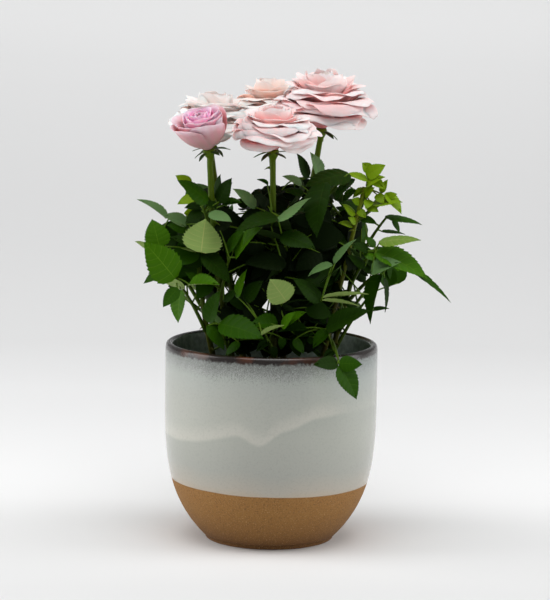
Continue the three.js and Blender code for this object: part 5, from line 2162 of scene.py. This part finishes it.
# Corners of the outline that the other leaves keep inside of, as readings of the frame.
OUTLINE = [
    (300, 745), (285, 690), (285, 560), (265, 545), (215, 480), (130, 470), (70, 440), (40, 380),
    (35, 290), (70, 235), (120, 215), (170, 215), (200, 190), (200, 150), (180, 100), (190, 65),
    (290, 60), (340, 50), (385, 60), (400, 90), (440, 95), (490, 110), (520, 85), (590, 80), (640, 60),
    (690, 30), (740, 30), (800, 35), (860, 50), (900, 100), (900, 180), (940, 200), (1000, 210),
    (1030, 240), (1030, 290), (1080, 330), (1110, 400), (1090, 450), (1000, 470), (1000, 580),
    (940, 600), (930, 620), (850, 665), (800, 680), (790, 750), (600, 755),
]

# Openings between the leaves: readings of their middles and radii.
OPENINGS = [
    (405, 130, 18), (375, 300, 12), (400, 465, 22), (860, 480, 22), (938, 520, 14), (830, 590, 12),
    (520, 560, 12), (350, 490, 10), (890, 100, 18), (955, 260, 14), (985, 240, 14), (1000, 130, 30),
    (960, 300, 8),
]

# How much longer and wider the young shoot's clearly seen leaves are made.
YOUNG_GROWTH = (1.22, 1.25)

# Sprays of the front and sides: name, cane, start, end, leaf, face, size, tint and growth. The
# tint is a lit or shaded copy of the leaf green: painted light and shade.
SPRAYS = [
    ("front_left_low", "left", 128, (-125, 64, 160), (-18, -11), (-90, 40), 33, "MID"),
    ("left", "side_left", 150, (-151, 77, 189), (-163, 49), (-95, 15), 33, "MID"),
    ("left_light", "side_left", 190, (-143, 67, 209), (76, 70), (90, 30), 29, "BRIGHT"),
    ("left_far", "side_left", 168, (-170, 82, 209), (-153, 77), (-90, 0), 26, "BRIGHT"),
    ("upper_left", "back_left", 190, (-175, 76, 230), (-169, 29), (90, 70), 25, "DARK"),
    ("young_left", "back_left", 205, (170, 59, 242), (170, 52), (-90, 20), 20, "YOUNG"),
    ("crown_left", "left", 215, (-140, 64, 240), (-169, 37), (-80, 40), 28, "BRIGHT"),
    ("crown_left_front", "left", 200, (-133, 63, 236), (-29, -19), (-90, 50), 22, "MID"),
    ("crown_front", "front", 205, (-92, 34, 235), (-9, 29), (-60, 80), 30, "BRIGHT"),
    ("centre_left", "left", 178, (-124, 53, 205), (-10, 39), (-110, 50), 31, "MID"),
    ("centre_dark", "front", 175, (-80, 41, 200), (-163, 4), (-90, 55), 31, "DARK"),
    ("centre_light", "front", 150, (-82, 53, 177), (171, 40), (90, 20), 21, "BRIGHT"),
    ("front_low", "front", 132, (-100, 53, 162), (-17, 9), (-90, 65), 30, "MID"),
    ("crown_right_up", "right", 222, (35, 17, 254), (168, 61), (-90, -10), 22, "MID"),
    ("crown_right", "right", 215, (-24, 54, 260), (-157, -14), (-90, 45), 32, "DARK"),
    ("right_hanging", "right", 205, (-47, 52, 255), (-133, -76), (-90, 10), 35, "MID"),
    ("young_right_top", "young", 238, (-8, 71, 257), (-14, 50), (-90, 10), 19, "YOUNG", YOUNG_GROWTH),
    ("young_right", "young", 228, (-10, 78, 241), (-32, -7), (-90, 40), 18, "YOUNG", YOUNG_GROWTH),
    ("right_top", "side_right", 195, (-6, 80, 231), (-5, -10), (-90, 65), 26, "MID"),
    ("right_light", "side_right", 182, (-24, 78, 210), (-8, 13), (90, 55), 32, "BRIGHT"),
    ("right_far", "side_right", 168, (-17, 89, 201), (-6, -35), (30, 60), 44, "BRIGHT"),
    ("right_low", "side_right", 148, (-14, 76, 189), (-32, -82), (-60, 5), 28, "DARK"),
    ("right_front", "right", 148, (-57, 62, 177), (-7, 8), (90, 75), 32, "BRIGHT"),
    ("right_front_low", "right", 135, (-50, 58, 156), (-11, 28), (-90, 40), 34, "DARK"),
    ("right_centre", "right", 180, (-82, 44, 220), (-15, -14), (-90, 40), 28, "MID"),
    ("trailing", "young", 145, (-60, 91, 140), (-9, -61), (-90, 20), 26, "BRIGHT"),
]


def accents() -> dict[str, list[Accent]]:
    """The clearly seen leaves of each spray, from their rows."""
    return {
        f"spray_{name}": [Accent(*row[:7], Tone[row[7]], *row[8:]) for row in rows]
        for name, rows in SEEN_LEAVES.items()
    }


def front_sprays() -> list[Spray]:
    """The sprays of the front and sides, from their rows."""
    return [Spray(f"spray_{row[0]}", f"cane_{row[1]}", *row[2:7], Tone[row[7]], *row[8:]) for row in SPRAYS]


def back_sprays() -> list[Spray]:
    """The sprays of the far side, which follow one rule round the back in three tiers.

    Returns:
        The sprays, with the names of the source's nodes.
    """
    tiers = [
        ("spray_back_low", 5, (12, 168), 76, 168, 135, 32),
        ("spray_back_mid", 4, (28, 152), 80, 208, 172, 31),
        ("spray_back_top", 2, (52, 128), 50, 244, 212, 28),
    ]
    made = []
    for name, count, (first, last), radius, height, start, size in tiers:
        for k in range(count):
            bearing = first + (last - first) * k / (count - 1)
            sway = 1 if k % 2 else -1
            cane = "cane_side_right" if bearing < 60 else "cane_back" if bearing < 120 else "cane_back_left"
            end = (bearing, radius + 4 * sway, height - 5 * sway)
            leaf = (bearing + 25 * sway, -18)
            # Painted light and shade: the back sprays take the middle, shaded and lit copies of the leaf
            # green in turn.
            tone = (Tone.MID, Tone.DARK, Tone.BRIGHT)[k % 3]
            face = (bearing, 50)
            made.append(Spray(f"{name}_{k + 1}", cane, start + 4 * sway, end, leaf, face, size, tone))
    return made


def main() -> None:
    """Builds the studio, the pot, the canes, the blooms and the crown, in that order."""
    Studio().build()
    pot = Pot()
    pot.build()
    PottingMix().build(pot)
    canes = {cane.name: cane for cane in CANES}
    sprays = [*front_sprays(), *back_sprays()]
    hip = Hip()
    for bloom in BLOOMS:
        bloom.tip = np.array(canes[bloom.cane].tip) * MM
    for number, cane in enumerate(CANES):
        buds = [spray.start * MM for spray in sprays if spray.cane == cane.name]
        extra = []
        for bloom in BLOOMS:
            if bloom.cane == cane.name:
                swelling = turned(hip.profile(cane.radii[1] * MM), 24)
                swelling.points = bloom.placed(swelling.points)
                extra.append(swelling)
        cane.build(buds, number, extra)
    for bloom in BLOOMS:
        bloom.build([other for other in BLOOMS if other is not bloom])
    Crown(canes, BLOOMS, sprays, accents(), OUTLINE, OPENINGS).build(hip)


if __name__ == "__main__":
    logging.basicConfig(level=logging.INFO, format="%(message)s")
    main()
